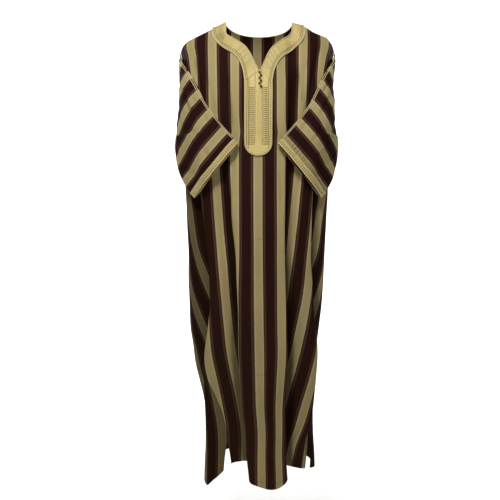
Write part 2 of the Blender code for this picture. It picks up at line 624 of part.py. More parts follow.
def build_trim():
    proud = 3 * LIFT + BRAID + CORD_R - 0.0003
    for k, dx in enumerate((-0.0032, 0.0032)):
        z = np.linspace(-0.220, BIB_END - 0.02, 15)
        cord(f"bib_cord_{k + 1}", on_front(BUTTON_X - 0.002 + dx + 0 * z, z, proud), CORD_R, CORDS)
    for k, z in enumerate(BUTTONS):
        bpy.ops.mesh.primitive_uv_sphere_add(segments=10, ring_count=6, radius=BUTTON_R)
        knot = bpy.context.object
        knot.name = f"button_{k + 1}"
        knot.location = on_front(BUTTON_X, z, LIFT + BRAID + LIFT + BUTTON_R).tolist()
        knot.data.materials.append(KNOTS)
        knot.data.shade_smooth()
        for other in list(knot.users_collection):
            other.objects.unlink(knot)
        COLLECTION.objects.link(knot)


def build_piping(name, side):
    """Cord beside the upper fold of the sleeve, on its outer side, as far as the cuff band."""
    ring = slim(sleeve_ring(SLEEVE_SHARES, RING) * [-side, 1, 1]) * [-side, 1, 1]
    crest = ring_normals(ring)[2:-1, 0]
    crest /= np.linalg.norm(crest, axis=-1, keepdims=True)
    ring = ring[2:-1]
    face = np.cross(ring[:, 1] - ring[:, 0], np.gradient(ring[:, 0], axis=0))
    face /= np.linalg.norm(face, axis=-1, keepdims=True)
    face *= np.sign(face @ [0, -1, 0.2])[:, None]
    out = crest + 0.8 * face
    out /= (out * face).sum(-1, keepdims=True)
    line = ring[:, 0] + out * (WALL / 2 + CORD_R + 0.5 * LIFT)
    line[-1] += 0.1 * (line[-2] - line[-1])
    if side > 0:
        line = line * [-1, 1, 1]
    return cord("piping_" + name, line, CORD_R, CORDS)


clear_scene()
COLLECTION = bpy.data.collections.new("djellaba")
bpy.context.scene.collection.children.link(COLLECTION)
STRIPES = material("striped_cloth", (0.13, 0.075, 0.055), 0.55)
BRAIDED = material("gold_braid", (0.62, 0.50, 0.21), 0.6)
CORDS = material("cream_cord", (0.78, 0.68, 0.46), 0.6)
KNOTS = material("knot_buttons", (0.55, 0.42, 0.13), 0.5)
build_front()
build_back()
for side_name, side_sign in (("left", -1), ("right", 1)):
    build_sleeve(side_name, side_sign)
    build_cuff(side_name, side_sign)
    build_piping(side_name, side_sign)
build_band("left", BAND_LEFT)
build_band("right", BAND_RIGHT)
build_back_band()
build_bib()
build_trim()
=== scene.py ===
# Striped djellaba, filled out as worn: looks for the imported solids, +Z up, front towards -Y.
# Lengths are in metres, but for the tables marked mm.
import json
import math

import bpy
import numpy as np
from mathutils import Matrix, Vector

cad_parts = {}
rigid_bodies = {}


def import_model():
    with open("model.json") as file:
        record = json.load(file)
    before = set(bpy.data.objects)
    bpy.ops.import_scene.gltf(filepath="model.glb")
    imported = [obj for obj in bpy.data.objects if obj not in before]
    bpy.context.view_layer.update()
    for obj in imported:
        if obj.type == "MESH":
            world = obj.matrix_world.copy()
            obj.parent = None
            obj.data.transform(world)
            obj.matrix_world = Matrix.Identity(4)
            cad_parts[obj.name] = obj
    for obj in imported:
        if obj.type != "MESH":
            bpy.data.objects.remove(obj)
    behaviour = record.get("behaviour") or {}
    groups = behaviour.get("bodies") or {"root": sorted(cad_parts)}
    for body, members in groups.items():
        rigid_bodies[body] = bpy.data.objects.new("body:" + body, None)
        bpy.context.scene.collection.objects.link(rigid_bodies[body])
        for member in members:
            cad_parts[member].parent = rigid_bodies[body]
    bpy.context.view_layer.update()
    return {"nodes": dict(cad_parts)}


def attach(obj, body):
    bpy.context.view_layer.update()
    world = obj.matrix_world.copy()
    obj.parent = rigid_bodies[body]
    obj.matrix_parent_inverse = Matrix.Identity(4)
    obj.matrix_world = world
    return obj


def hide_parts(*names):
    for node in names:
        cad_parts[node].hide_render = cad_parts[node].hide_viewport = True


for thing in list(bpy.data.objects):
    bpy.data.objects.remove(thing)
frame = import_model()
print("frame loaded:", len(frame["nodes"]), "nodes")

mm = 0.001

# Sizes that all the pieces share
robe = {
    "wall": 0.0012,  # thickness of the cloth
    "braid": 0.0018,  # thickness of the braid
    "seam": 0.0008,  # gap between pieces sewn together
    "lift": 0.0004,  # gap under a piece that lies on another
    "period": 0.0667,  # one repeat of the stripes
    "repeats": 18,  # all round
    "underarm": -0.345,
    "armholeX": 0.235,
    "armholeTop": -0.088,
    "armholeOpen": 0.050,  # half of its width
    "sideS": 0.29,  # cloth from the centre front to the side seam at the underarm
    "backDip": 0.030,  # dip of the neck at the back
}
around = robe["repeats"] * robe["period"]


def smooth(x):
    x = np.clip(x, 0.0, 1.0)
    return x * x * (3.0 - 2.0 * x)


def fade(x, start, over):
    # 0 up to start and 1 from start + over, smooth between; over below 0 turns it round
    return smooth((x - start) / over)


def plateau(x):
    # 0 outside 0..1 and 1 in the middle, with soft shoulders
    return smooth(x / 0.3) * smooth((1.0 - x) / 0.3)


def unit(v):
    return v / np.maximum(np.linalg.norm(v, axis=-1, keepdims=True), 1e-12)


def spline(rows, key):
    # smooth curve through the rows of a table, read at key, which is the table's first column
    rows = np.array(rows, float)
    x, y = rows[:, 0], rows[:, 1:]
    slope = np.gradient(y, x, axis=0)
    key = np.asarray(key, float)
    i = np.clip(np.searchsorted(x, key) - 1, 0, len(x) - 2)
    h = (x[i + 1] - x[i])[..., None]
    t = np.clip((key - x[i]) / (x[i + 1] - x[i]), 0, 1)[..., None]
    return ((2 * t**3 - 3 * t**2 + 1) * y[i] + (t**3 - 2 * t**2 + t) * h * slope[i]
            + (3 * t**2 - 2 * t**3) * y[i + 1] + (t**3 - t**2) * h * slope[i + 1])


def normals(grid):
    # outward where columns run left to right and rows run down, as seen from outside
    return unit(np.cross(np.gradient(grid, axis=0), np.gradient(grid, axis=1)))


def runLength(points, axis=0):
    # length from the first point of each line of points along the axis
    steps = np.linalg.norm(np.diff(points, axis=axis), axis=-1)
    return np.concatenate([np.zeros_like(np.take(steps, [0], axis)), np.cumsum(steps, axis)], axis)


def relax(values, weight, times=1):
    # all but the first and the last are moved towards the mean of the two beside them
    for _again in range(times):
        values[1:-1] += weight * ((values[:-2] + values[2:]) / 2 - values[1:-1])
    return values


def wrapped(s):
    # place in the cloth, from the centre front, within half the way round
    return (np.asarray(s) + around / 2) % around - around / 2


def uneven(a, b, seed, scale):
    # slow wander between about -1 and 1: four sines that run in different directions
    total = 0.0
    for k in range(4):
        turn = seed * 1.7 + k * 2.4
        along = (a * math.cos(turn) + b * math.sin(turn)) * scale
        total = total + np.sin(along * (1 + 0.37 * k) + seed * 3.1 + k * 5.3)
    return total / 2.6


# The body of the robe: an oval section by height, with folds that turn cloth in
bodyColumns = ("z", "left", "right", "centre", "seamLeft", "seamRight", "depth")
body = {
    "rows": [
        # the columns above, mm
        (-345, -235, 235, 0, -290, 290, 136), (-450, -222, 218, 0, -245, 305, 138),
        (-530, -213, 208.5, 0, -212, 318, 137), (-680, -207, 201.3, 1, -195, 335, 130),
        (-780, -207, 197, 2, -200, 342, 128), (-860, -203, 192, 3, -210, 346, 130),
        (-950, -197, 182, 5, -230, 347, 134), (-1020, -188, 177, 6, -222, 347, 138),
        (-1080, -172, 173, 7, -208, 347, 143), (-1150, -156, 168, 8, -192, 347, 150),
        (-1220, -154, 168, 9, -187, 347, 155), (-1300, -156.5, 172, 10, -185, 347, 157),
        (-1390, -158, 174, 11, -185, 347, 158),
    ],
    "square": 2.3,  # power of the oval
    "depthBack": 0.87,  # depth of its back half over that of its front half
    "foldZ": (-345, -530, -680, -820, -970, -1110, -1250, -1370),  # mm
    "folds": [
        # side, angle in, angle out, share that comes back, and at each foldZ, in mm, the place in the
        # cloth of the fold's edge and the cloth turned under
        (-1, 104, 35, 0.8, (-75, -70, -60, -48, -42, -38, -30, -16), (4, 15, 26, 44, 62, 80, 88, 91)),
        (1, 116, 45, 0.8, (72, 72, 72, 73, 74, 75, 76, 76), (6, 24, 38, 60, 94, 118, 148, 168)),
        (-1, 138, 30, 0.95, (-184, -180, -172, -168, -196, -236, -276, -288),
         (0, 20, 42, 85, 120, 100, 70, 50)),
        (1, 138, 30, 0.95, (180, 184, 196, 216, 262, 290, 300, 310), (0, 36, 45, 75, 80, 40, 10, 0)),
    ],
    "backFolds": [
        (-1, 48, 40, 1, (-400, -400, -405, -415, -425, -430, -435, -440), (10, 14, 18, 20, 20, 20, 22, 24)),
        (1, 52, 40, 1, (-560, -560, -555, -550, -548, -545, -540, -535), (20, 24, 26, 26, 26, 28, 30, 30)),
        (1, 48, 40, 1, (400, 405, 410, 420, 430, 435, 440, 440), (10, 14, 18, 20, 20, 22, 24, 26)),
    ],
    "takeUp": 0.86,  # cloth that a fold takes up, over that of two sharp bends
    "shortest": 0.036,  # shortest length of cloth that turns in at a fold
    "behind": (0.33, 0.25),  # where the back starts to meet itself again, and over how much cloth
    "levels": 56,
    "lowest": -1.39,
    "blur": 1.3,  # levels over which the sections are softened
    "hem": [
        # repeats from the centre front, z in mm
        (-9, -1289), (-7, -1306), (-5.8, -1338), (-5.1, -1344), (-4.6, -1352), (-4.2, -1360),
        (-3.95, -1366), (-3.74, -1367), (-3.45, -1352), (-3.02, -1326), (-2.7, -1303), (-2.2, -1294),
        (-1.5, -1296), (-1.1, -1306), (-0.6, -1334), (0, -1350), (0.6, -1356), (1.1, -1350),
        (1.6, -1328), (2.4, -1310), (4.2, -1318), (5.3, -1328), (6, -1326), (7.5, -1298), (9, -1289),
    ],
    "slitTop": (-1.236, -1.205),  # left, right
    "slitFoot": -1.335,
    "slitWidth": (0.022, 0.016),
}
samples = np.linspace(-around / 2, around / 2, 1201)
plateauMean = float(plateau(np.linspace(0, 1, 400)).mean())
bodyRows = np.array(body["rows"])[::-1] * mm
foldDown = -np.array(body["foldZ"]) * mm


def bodyAt(column, z):
    return np.interp(z, bodyRows[:, 0], bodyRows[:, bodyColumns.index(column)])


def taken(angle, angleOut, share):
    # cloth that a fold takes up for each metre that turns in
    a, b = np.radians(angle), np.radians(np.minimum(angleOut, angle))
    back = share * np.sin(a) / np.maximum(np.sin(b), 1e-3)
    return body["takeUp"] * plateauMean * ((1 - np.cos(a)) + back * (1 - np.cos(b)))


def foldHeading(folds, z, more=1.0):
    # angle by which the cloth turns in from the oval: up to the fold's angle for its length, then back out
    heading = np.zeros_like(samples)
    for side, angle, angleOut, share, edges, hidden in folds:
        edge = np.interp(-z, foldDown, edges) * mm
        turnedUnder = np.interp(-z, foldDown, hidden) * mm * more
        if turnedUnder < 1e-4:
            continue
        angles = np.linspace(2, angle, 60)
        amounts = taken(angles, angleOut, share)
        a = np.interp(turnedUnder / body["shortest"], amounts, angles)
        length = max(body["shortest"], turnedUnder / amounts[-1])
        b = min(angleOut, a)
        back = share * length * math.sin(math.radians(a)) / math.sin(math.radians(b))
        along = wrapped((samples - edge) * side)
        heading += side * math.radians(a) * plateau(along / length)
        heading -= side * math.radians(b) * plateau((along - length) / back)
    return heading


def folded(z, left, right, more):
    # cloth that follows the oval and turns in at its folds: points, and how much longer than the oval it is
    step = samples[1] - samples[0]
    turn = np.linspace(-math.pi / 2, 1.5 * math.pi, 1081)
    c, s = np.cos(turn), np.sin(turn)
    depth = bodyAt("depth", z) * np.where(s < 0, 1.0, body["depthBack"])
    x = (left + right) / 2 + (right - left) / 2 * np.sign(c) * np.abs(c) ** (2 / body["square"])
    y = depth * np.sign(s) * np.abs(s) ** (2 / body["square"])
    along = runLength(np.stack([x, y], axis=-1))
    start = np.interp(bodyAt("centre", z), x[: len(x) // 4], along[: len(x) // 4])
    tx, ty = np.gradient(x), np.gradient(y)
    size = np.maximum(np.hypot(tx, ty), 1e-9)
    tx, ty = tx / size, ty / size
    bend = np.abs(tx * np.gradient(ty) - ty * np.gradient(tx)) / size
    bend = np.convolve(np.concatenate([bend[-30:], bend, bend[:30]]), np.ones(61) / 61, "valid")
    heading = foldHeading(body["folds"], z) + foldHeading(body["backFolds"], z, more)
    inward = np.concatenate([[0], np.cumsum(np.sin((heading[1:] + heading[:-1]) / 2)) * step])
    inward -= np.interp(0.0, samples, inward)
    inward = inward - fade(np.abs(samples), *body["behind"]) * np.where(samples < 0, inward[0], inward[-1])
    sigma = np.cumsum(np.cos(heading)) * step
    for _again in range(3):
        sigma = sigma - np.interp(0.0, samples, sigma)
        where = (sigma + start) % along[-1]
        shrink = np.clip(1 - np.interp(where, along, bend) * inward, 0.6, 1.3)
        sigma = np.cumsum(np.cos(heading) / shrink) * step
    total = sigma[-1] - sigma[0]
    sigma = (sigma - np.interp(0.0, samples, sigma)) * along[-1] / total
    where = (sigma + start) % along[-1]
    px, py = np.interp(where, along, x), np.interp(where, along, y)
    nx, ny = -np.interp(where, along, ty), np.interp(where, along, tx)
    size = np.hypot(nx, ny)
    return px + inward * nx / size, py + inward * ny / size, total - along[-1]


def section(z):
    # the oval is widened until the folded cloth has the outline's edges; the back takes up the spare cloth
    left, right = float(bodyAt("left", z)), float(bodyAt("right", z))
    wideLeft, wideRight = left, right
    more = 0.0
    for _again in range(5):
        px, py, _spare = folded(z, wideLeft, wideRight, more)
        wideLeft -= 0.8 * (px.min() - left)
        wideRight -= 0.8 * (px.max() - right)
        more = 0.0
        while folded(z, wideLeft, wideRight, more)[2] > 0 and more < 3.5:
            more += 0.1
    px, py, _spare = folded(z, wideLeft, wideRight, more)
    return left + (px - px.min()) * (right - left) / (px.max() - px.min()), py


levels = np.linspace(robe["underarm"], body["lowest"], body["levels"])
sections = np.array([section(z) for z in levels])
soften = np.exp(-0.5 * (np.arange(-4, 5) / body["blur"]) ** 2)
soften /= soften.sum()
padded = np.concatenate([sections[:1]] * 4 + [sections] + [sections[-1:]] * 4)
bodyXY = sum(soften[k] * padded[k:k + len(levels)] for k in range(9))
bodyXY[0] = sections[0]
# the front lobe is narrower at its right edge towards the hem, and its turned-under cloth goes with it
lobe = {
    "rows": [(-1390, 24), (-1190, 24), (-900, 11), (-660, 0)],  # z, how far its edge is drawn in, mm
    "drawn": (0.0, 0.076, 0.106, 0.26),  # places in the cloth: drawn in from the second to the third
}
drawnIn = np.interp(levels, *(np.array(lobe["rows"]).T * mm))
bodyXY[:, 0] -= drawnIn[:, None] * np.interp(samples, lobe["drawn"], (0.0, 1.0, 1.0, 0.0))
print("body sections:", len(levels))


def bodyPoint(s, z):
    # point of the cloth below the underarm: straight between places in the cloth, smooth between heights
    s = wrapped(s)
    col = (s + around / 2) / (samples[1] - samples[0])
    row = np.clip((robe["underarm"] - np.asarray(z)) / (levels[0] - levels[1]), 0, len(levels) - 1.001)
    i, j = row.astype(int), np.clip(col.astype(int), 0, len(samples) - 2)
    u, v = row - i, col - j
    weights = (-0.5 * u + u**2 - 0.5 * u**3, 1 - 2.5 * u**2 + 1.5 * u**3,
               0.5 * u + 2 * u**2 - 1.5 * u**3, -0.5 * u**2 + 0.5 * u**3)
    total = np.zeros(np.shape(s) + (2,))
    for k, weight in enumerate(weights):
        at = np.clip(i + k - 1, 0, len(levels) - 1)
        for axis in range(2):
            total[..., axis] += weight * ((1 - v) * bodyXY[at, axis, j] + v * bodyXY[at, axis, j + 1])
    return np.stack([total[..., 0], total[..., 1], np.asarray(z, float)], axis=-1)


# Shoulders and neck
shoulder = {
    "ridge": [
        # x, z, mm
        (-235, -88), (-223.5, -66), (-210.6, -53.5), (-183, -41), (-133.5, -16.5), (-91.5, 3), (100, 1),
        (139.5, -9), (165.6, -26), (208.5, -42.4), (223.5, -62), (235, -90),
    ],
    "neck": (-0.0945, 0.1030),  # ends of the neck's edge behind
    "neckFront": (-0.1140, 0.1200),  # and in front, where it lies under the band
    "step": (0.24, 0.52),  # rounded step over the shoulder: share of the height, of the depth
    "opens": (0.120, 0.115),  # x at which the armhole starts to open, and over how much
}
neckBand = {
    "left": [
        # inner x, z, outer x, z, mm
        (-91.5, 2, -133, -17), (-91.5, -24, -133.3, -42), (-89, -50, -124, -69),
        (-66, -66.5, -96, -93.5), (-40, -84, -70, -113), (-25, -103, -53, -134),
        (-12.5, -129, -43, -162), (4, -163, -38.5, -196),
    ],
    "right": [
        (100, 0, 137.5, -9), (100, -22, 138.5, -40), (95, -46, 127, -74), (70, -68, 96, -102),
        (45, -87, 69, -124), (31, -106, 54, -146), (19, -133, 45.5, -170), (6, -163, 42, -196),
    ],
    "under": 0.0022,  # of the bands' edges below the ridge
    "clear": 0.0012,  # of their middle from the plane of the shoulders
}
neckMiddle = sum(shoulder["neck"]) / 2
neckHalf = (shoulder["neck"][1] - shoulder["neck"][0]) / 2
ridgeRows = np.array(shoulder["ridge"]) * mm
bandRows = {side: np.array(neckBand[side]) * mm for side in ("left", "right")}


def ridge(x):
    return np.interp(x, ridgeRows[:, 0], ridgeRows[:, 1])


def rise(down):
    # depth below the shoulder line: a rounded step over the shoulder and a slow swell over the chest
    height, depth = shoulder["step"]
    near = np.clip(down / height, 0, 1)
    return depth * np.sqrt(1 - (1 - near) ** 2) + (1 - depth) * np.sin(np.clip(down, 0, 1) * math.pi / 2)


def upperY(x, z, side):
    # depth of the front (side -1) or back (side 1) above the underarm
    top = ridge(x)
    down = np.clip((top - z) / (top - robe["underarm"]), 0, 1)
    keep = side * (np.abs(samples) - robe["sideS"]) > 0
    order = np.argsort(bodyXY[0, 0][keep])
    flat = np.interp(x, bodyXY[0, 0][keep][order], bodyXY[0, 1][keep][order])
    flat = side * np.maximum(side * flat, 0.0)
    at = np.clip((robe["armholeTop"] - z) / (robe["armholeTop"] - robe["underarm"]), 0, 1)
    bulge = fade(np.abs(x), *shoulder["opens"]) * np.sin(math.pi * at)
    return flat * rise(down) * (1 - 0.25 * bulge) + side * robe["armholeOpen"] * bulge


def backY(x, z):
    return upperY(x, z, 1)


across = np.linspace(-0.24, 0.24, 121)
foremost = np.array([[min(y[np.abs(x - at) < 0.012], default=0.0) for at in across] for x, y in bodyXY[:20]])
foremost = np.array([np.convolve(np.pad(row, 7, "edge"), np.ones(15) / 15, "valid") for row in foremost])


def frontY(x, z):
    # depth of the front over the chest and the top of the skirt, where it has no deep folds
    x, z = np.broadcast_arrays(np.asarray(x, float), np.asarray(z, float))
    above = upperY(x, np.maximum(z, robe["underarm"]), -1)
    row = np.clip((robe["underarm"] - z) / (levels[0] - levels[1]), 0, len(foremost) - 1.01)
    low = np.zeros_like(above)
    for k, depths in enumerate(foremost):
        low += np.interp(x, across, depths) * np.clip(1 - np.abs(row - k), 0, 1)
    return np.where(z >= robe["underarm"], above, low)


def outward(depthAt, side, x, z):
    # direction out of the front (side -1) or the back (side 1), from the slopes of its depth
    d, steepest = 0.002, 8
    slopeX = (depthAt(x + d, z) - depthAt(x - d, z)) / (2 * d)
    slopeZ = np.clip((depthAt(x, z + d) - depthAt(x, z - d)) / (2 * d), -steepest, steepest)
    return side * unit(np.stack([-slopeX, np.ones_like(slopeX), -slopeZ], axis=-1))


def onCloth(depthAt, side, x, z, proud):
    # places on the front or the back, moved out from its outer face by proud
    place = np.stack(np.broadcast_arrays(x, depthAt(x, z) + side * robe["seam"], z), axis=-1)
    return place + outward(depthAt, side, x, z) * (robe["wall"] / 2 + np.asarray(proud))[..., None]


def onFront(x, z, proud):
    return onCloth(frontY, -1, x, z, proud)


slimness = {
    "rows": [
        # z, drawn in on the left, on the right, mm
        (0, 0, 0), (-80, 3, 3), (-108, 13, 14), (-168, 21, 28), (-228, 24, 32), (-318, 18, 25),
        (-378, 12, 17), (-438, 9, 16), (-500, 2, 3), (-530, 0, 0),
    ],
    "from": 0.150,  # x where the drawing in starts, and where it is as the table says
    "to": 0.257,
}
slimRows = np.array(slimness["rows"])[::-1] * mm


def slim(points):
    # shoulders and upper sleeves drawn in towards the middle, more the farther out they lie
    x = points[..., 0]
    far = np.clip((np.abs(x) - slimness["from"]) / (slimness["to"] - slimness["from"]), 0, None)
    left, right = (np.interp(points[..., 2], slimRows[:, 0], slimRows[:, k]) for k in (1, 2))
    drawn = points.copy()
    drawn[..., 0] -= np.sign(x) * far * np.where(x < 0, left, right)
    return drawn


def hem(s):
    return spline(body["hem"], wrapped(s) / robe["period"])[..., 0] * mm


def halfGap(slit, z):
    top, wide = body["slitTop"][slit], body["slitWidth"][slit]
    return robe["seam"] / 2 + wide / 2 * np.sqrt(smooth((top - z) / (top - body["slitFoot"]))) * (z < top)


def addMesh(name, points, faces, mat, marks, replaced=()):
    # points and faces as one object on the root body; marks are vectors for each point, read by its surface
    mesh = bpy.data.meshes.new(name)
    mesh.from_pydata(points.reshape(-1, 3), [], faces)
    for key, values in marks.items():
        layer = mesh.attributes.new(key, "FLOAT_VECTOR", "POINT")
        layer.data.foreach_set("vector", values.ravel())
    mesh.shade_smooth()
    mesh.materials.append(mat)
    thing = bpy.data.objects.new(name, mesh)
    bpy.context.scene.collection.objects.link(thing)
    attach(thing, "root")
    if replaced:
        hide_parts(*replaced)
    return thing


def gridFaces(rows, cols, closed=False):
    index = np.arange(rows * cols).reshape(rows, cols)
    if closed:
        index = np.concatenate([index, index[:, :1]], axis=1)
    corners = index[:-1, :-1], index[1:, :-1], index[1:, 1:], index[:-1, 1:]
    return np.stack(corners, axis=-1).reshape(-1, 4)


def addSheet(node, kind, grid, place, deep=None, closed=False):
    # a grid of points as a sheet of cloth or braid, its wall half to each side
    # the painted shade mark, 0 to 1, goes to the surface three times over as a vector
    marks = {"place": place}
    if deep is not None:
        marks["deep"] = np.repeat(np.clip(deep, 0.0, 1.0)[..., None], 3, axis=-1)
    faces = gridFaces(*grid.shape[:2], closed)
    thing = addMesh(node + kind["ending"], grid, faces, kind["mat"], marks, (node,))
    wall = thing.modifiers.new("wall", "SOLIDIFY")
    wall.thickness = kind["thickness"]
    wall.offset = 0.0
    wall.use_even_offset = False
    if closed:
        grid = np.concatenate([grid, grid[:, :1]], axis=1)
    down, right = grid[1:, :-1] - grid[:-1, :-1], grid[:-1, 1:] - grid[:-1, :-1]


def crease(table, a, b):
    # soft troughs (depth below 0) and ridges: each along a line with rounded ends, and uneven
    total = np.zeros_like(a)
    for k, (a0, b0, a1, b1, width, depth) in enumerate(table):
        length = math.hypot(a1 - a0, b1 - b0)
        ua, ub = (a1 - a0) / length, (b1 - b0) / length
        along = ((a - a0) * ua + (b - b0) * ub) / length
        off = (a - a0) * ub - (b - b0) * ua
        off = off + width * 0.5 * np.sin(along * (4.1 + k % 3) + k * 1.9)
        fade = smooth((along + 0.08) / 0.3) * smooth((1.08 - along) / 0.3)
        vary = 0.75 + 0.25 * np.sin(along * (7.3 + k % 4) + k)
        skew = np.where(off > 0, 1.0, 0.65)
        total += depth * fade * vary * np.exp(-((off / (width * skew)) ** 2))
    return total


class Wire:
    # an output of a surface's nodes, with arithmetic on it
    def __init__(self, tree, out):
        self.tree, self.out = tree, out

    def put(self, kind, settings, inputs, output=0):
        made = self.tree.nodes.new(kind)
        for key, value in settings.items():
            setattr(made, key, value)
        for key, value in inputs.items():
            if isinstance(value, Wire):
                self.tree.links.new(value.out, made.inputs[key])
            else:
                made.inputs[key].default_value = value
        return Wire(self.tree, made.outputs[output])

    def calc(self, operation, *others):
        return self.put("ShaderNodeMath", {"operation": operation}, dict(enumerate((self,) + others)))

    def __add__(self, other):
        return self.calc("ADD", other)

    def __sub__(self, other):
        return self.calc("SUBTRACT", other)

    def __rsub__(self, other):
        return self.calc("MULTIPLY", -1.0).calc("ADD", other)

    def __mul__(self, other):
        return self.calc("MULTIPLY", other)

    def wave(self, length):
        # 0 to 1 and back once in each length
        return self.calc("MULTIPLY", 2 * math.pi / length).calc("SINE") * 0.5 + 0.5

    def rise(self, low, high):
        # 0 up to low, 1 from high, smooth between
        return self.put("ShaderNodeMapRange", {"interpolation_type": "SMOOTHSTEP"},
                        {"Value": self, "From Min": low, "From Max": high})

    def line(self, at, half, end):
        # 1 within half of at, 0 beyond end, smooth between
        return 1 - (self - at).calc("ABSOLUTE").rise(half, end)

    def mix(self, first, second):
        # first where this is 0, second where it is 1
        return self.put("ShaderNodeMix", {"data_type": "RGBA"}, {0: self, 6: first, 7: second}, 2)

    def scaled(self, factor):
        return self.put("ShaderNodeVectorMath", {"operation": "SCALE"}, {0: self, "Scale": factor})

    def noise(self, x, y, z, detail):
        spot = self.put("ShaderNodeCombineXYZ", {}, {0: x, 1: y, 2: z})
        return self.put("ShaderNodeTexNoise", {}, {"Vector": spot, "Scale": 1.0, "Detail": detail})


def ink(code):
    # linear colour of a six-digit sRGB code
    parts = [int(code[k:k + 2], 16) / 255 for k in (0, 2, 4)]
    return tuple(((c + 0.055) / 1.055) ** 2.4 if c > 0.04045 else c / 12.92 for c in parts) + (1.0,)


def material(name, fixed):
    mat = bpy.data.materials.new(name)
    mat.use_nodes = True
    shader = mat.node_tree.nodes["Principled BSDF"]
    for key, value in fixed.items():
        shader.inputs[key].default_value = value
    return mat, shader


def surface(name, fixed):
    # a material, its shader, and the three parts of the mesh's own place
    mat, shader = material(name, fixed)
    place = Wire(mat.node_tree, None).put("ShaderNodeAttribute", {"attribute_name": "place"}, {}, "Vector")
    split = place.put("ShaderNodeSeparateXYZ", {}, {0: place})
    return mat, shader, [Wire(mat.node_tree, out) for out in split.out.node.outputs]


def connect(shader, color, rough, height, distance):
    bump = height.put("ShaderNodeBump", {}, {"Height": height, "Strength": 1.0, "Distance": distance})
    for wire, key in ((color, "Base Color"), (rough, "Roughness"), (bump, "Normal")):
        wire.tree.links.new(wire.out, shader.inputs[key])


# dye colours of the cloth, braid, cords and knots, and two painted shades: one for folds and creases, one for
# the lower robe
dyesAndShades = {
    "gold": "AE9D6C", "goldEdge": "B9A680", "brown": "483320", "mauve": "523B30", "aubergine": "2D1814",
    "lowShadeTint": "5E4828", "foldShade": "1E130A", "hemThread": "2A1F16",
    "braidDark": "846A2E", "braidPale": "E6D28C", "cordDark": "A98F4C", "cordPale": "F6E8B4",
    "knotDark": "2A190E", "knotPale": "8A6632",
}
dyesAndShades = {name: ink(code) for name, code in dyesAndShades.items()}


def stripedCloth():
    # u is the distance from the nearest gold centre: gold with paler edges to 12.7 mm, brown to 16.8 mm,
    # mauve to 20.5 mm, then aubergine. Lower down it is painted darker and a little warmer, to 0.7 at the
    # hem:
    # painted shade. Streaks along the threads, patches and flecks scale it by 0.48 to 1.52, and where the
    # painted shade mark is 1 it is two thirds painted fold shade. Two faint pressed lines cross the middle,
    # darkened a little with painted shade, and the hem has a dashed line of stitches. The bump is the
    # threads and streaks, sunk at the stitches and the pressed lines.
    mat, shader, (s, z, aboveHem) = surface("stripedCloth", {"Sheen Weight": 0.0, "IOR": 1.03})
    streak = s.noise(s * 1500.0, z * 45.0, 0.0, 2.0)
    patch = s.noise(s * 16.0, z * 5.0, 4.0, 3.0)
    frayed = s + (s.noise(s * 500.0, z * 320.0, 9.0, 1.0) - 0.5) * 0.0012
    u = ((frayed * (1 / robe["period"]) + 0.5).calc("FRACT") - 0.5).calc("ABSOLUTE") * robe["period"]
    color = u.rise(0.0080, 0.0094).mix(dyesAndShades["gold"], dyesAndShades["goldEdge"])
    color = u.rise(0.0122, 0.0132).mix(color, dyesAndShades["brown"])
    color = u.rise(0.0163, 0.0172).mix(color, dyesAndShades["mauve"])
    color = u.rise(0.0198, 0.0212).mix(color, dyesAndShades["aubergine"])
    # painted shade: darker and a little warmer towards the hem, where less light falls
    low = (z * -1.0).rise(0.35, 1.45)
    color = (low * 0.60).mix(color, color.scaled(0.52))
    color = (low * 0.07).mix(color, dyesAndShades["lowShadeTint"])
    fleck = s.noise(s * 420.0, z * 300.0, 2.0, 2.0)
    color = color.scaled(streak * 0.26 + patch * 0.44 + fleck * 0.34 + 0.48)
    # painted fold shade, by the mark from the folds' depth and the creases' troughs
    deep = s.put("ShaderNodeAttribute", {"attribute_name": "deep"}, {}, "Fac")
    color = (deep * 0.66).mix(color, dyesAndShades["foldShade"])
    bent = z + (patch - 0.5) * 0.02
    pressed = bent.line(-0.648, 0.0004, 0.0018) + bent.line(-1.032, 0.0004, 0.0018)
    pressed = pressed * s.line(0.0, 0.030, 0.055)
    # painted shade in the pressed lines
    color = (pressed * 0.22).mix(color, dyesAndShades["foldShade"])
    stitches = aboveHem.line(0.015, 0.0004, 0.0013)
    dash = s.wave(0.0055).rise(0.25, 0.45)
    color = (stitches * dash * 0.55).mix(color, dyesAndShades["hemThread"])
    threads = s.wave(0.0011) * 0.5 + z.wave(0.0023) * 0.2 + streak * 0.9 - stitches * 1.2 - pressed
    connect(shader, color, streak * 0.16 + 0.40, threads, 0.00022)
    return mat


def goldBraid():
    # ribs across the band, 6 mm apart, as strong as the third part of place, fine threads, and grooves 6.8
    # and 11.5 mm from the outer edge: pale gold on the ribs and dark gold between and in the grooves, darker
    # where the third part passes 1. The bump is the ribs and threads less the grooves.
    mat, shader, (along, outer, ribs) = surface("goldBraid", {
        "Sheen Weight": 0.1, "Sheen Roughness": 0.4, "IOR": 1.25})
    wander = along.noise(along * 160.0, outer * 160.0, 0.0, 2.0)
    rib = ((along + wander * 0.0010).wave(0.0060) - 0.80) * ribs + 0.80
    thread = (outer + along * 0.35).wave(0.0019)
    groove = outer.line(0.0068, 0.0003, 0.0015) + outer.line(0.0115, 0.0003, 0.0015)
    lit = rib * 0.55 + thread * 0.18 + wander * 0.36 - groove * 0.55 - ribs.rise(1.0, 1.3) * 0.20
    color = lit.rise(0.05, 0.85).mix(dyesAndShades["braidDark"], dyesAndShades["braidPale"])
    connect(shader, color, wander * 0.2 + 0.42, rib + thread * 0.5 - groove * 1.2, 0.0006)
    return mat


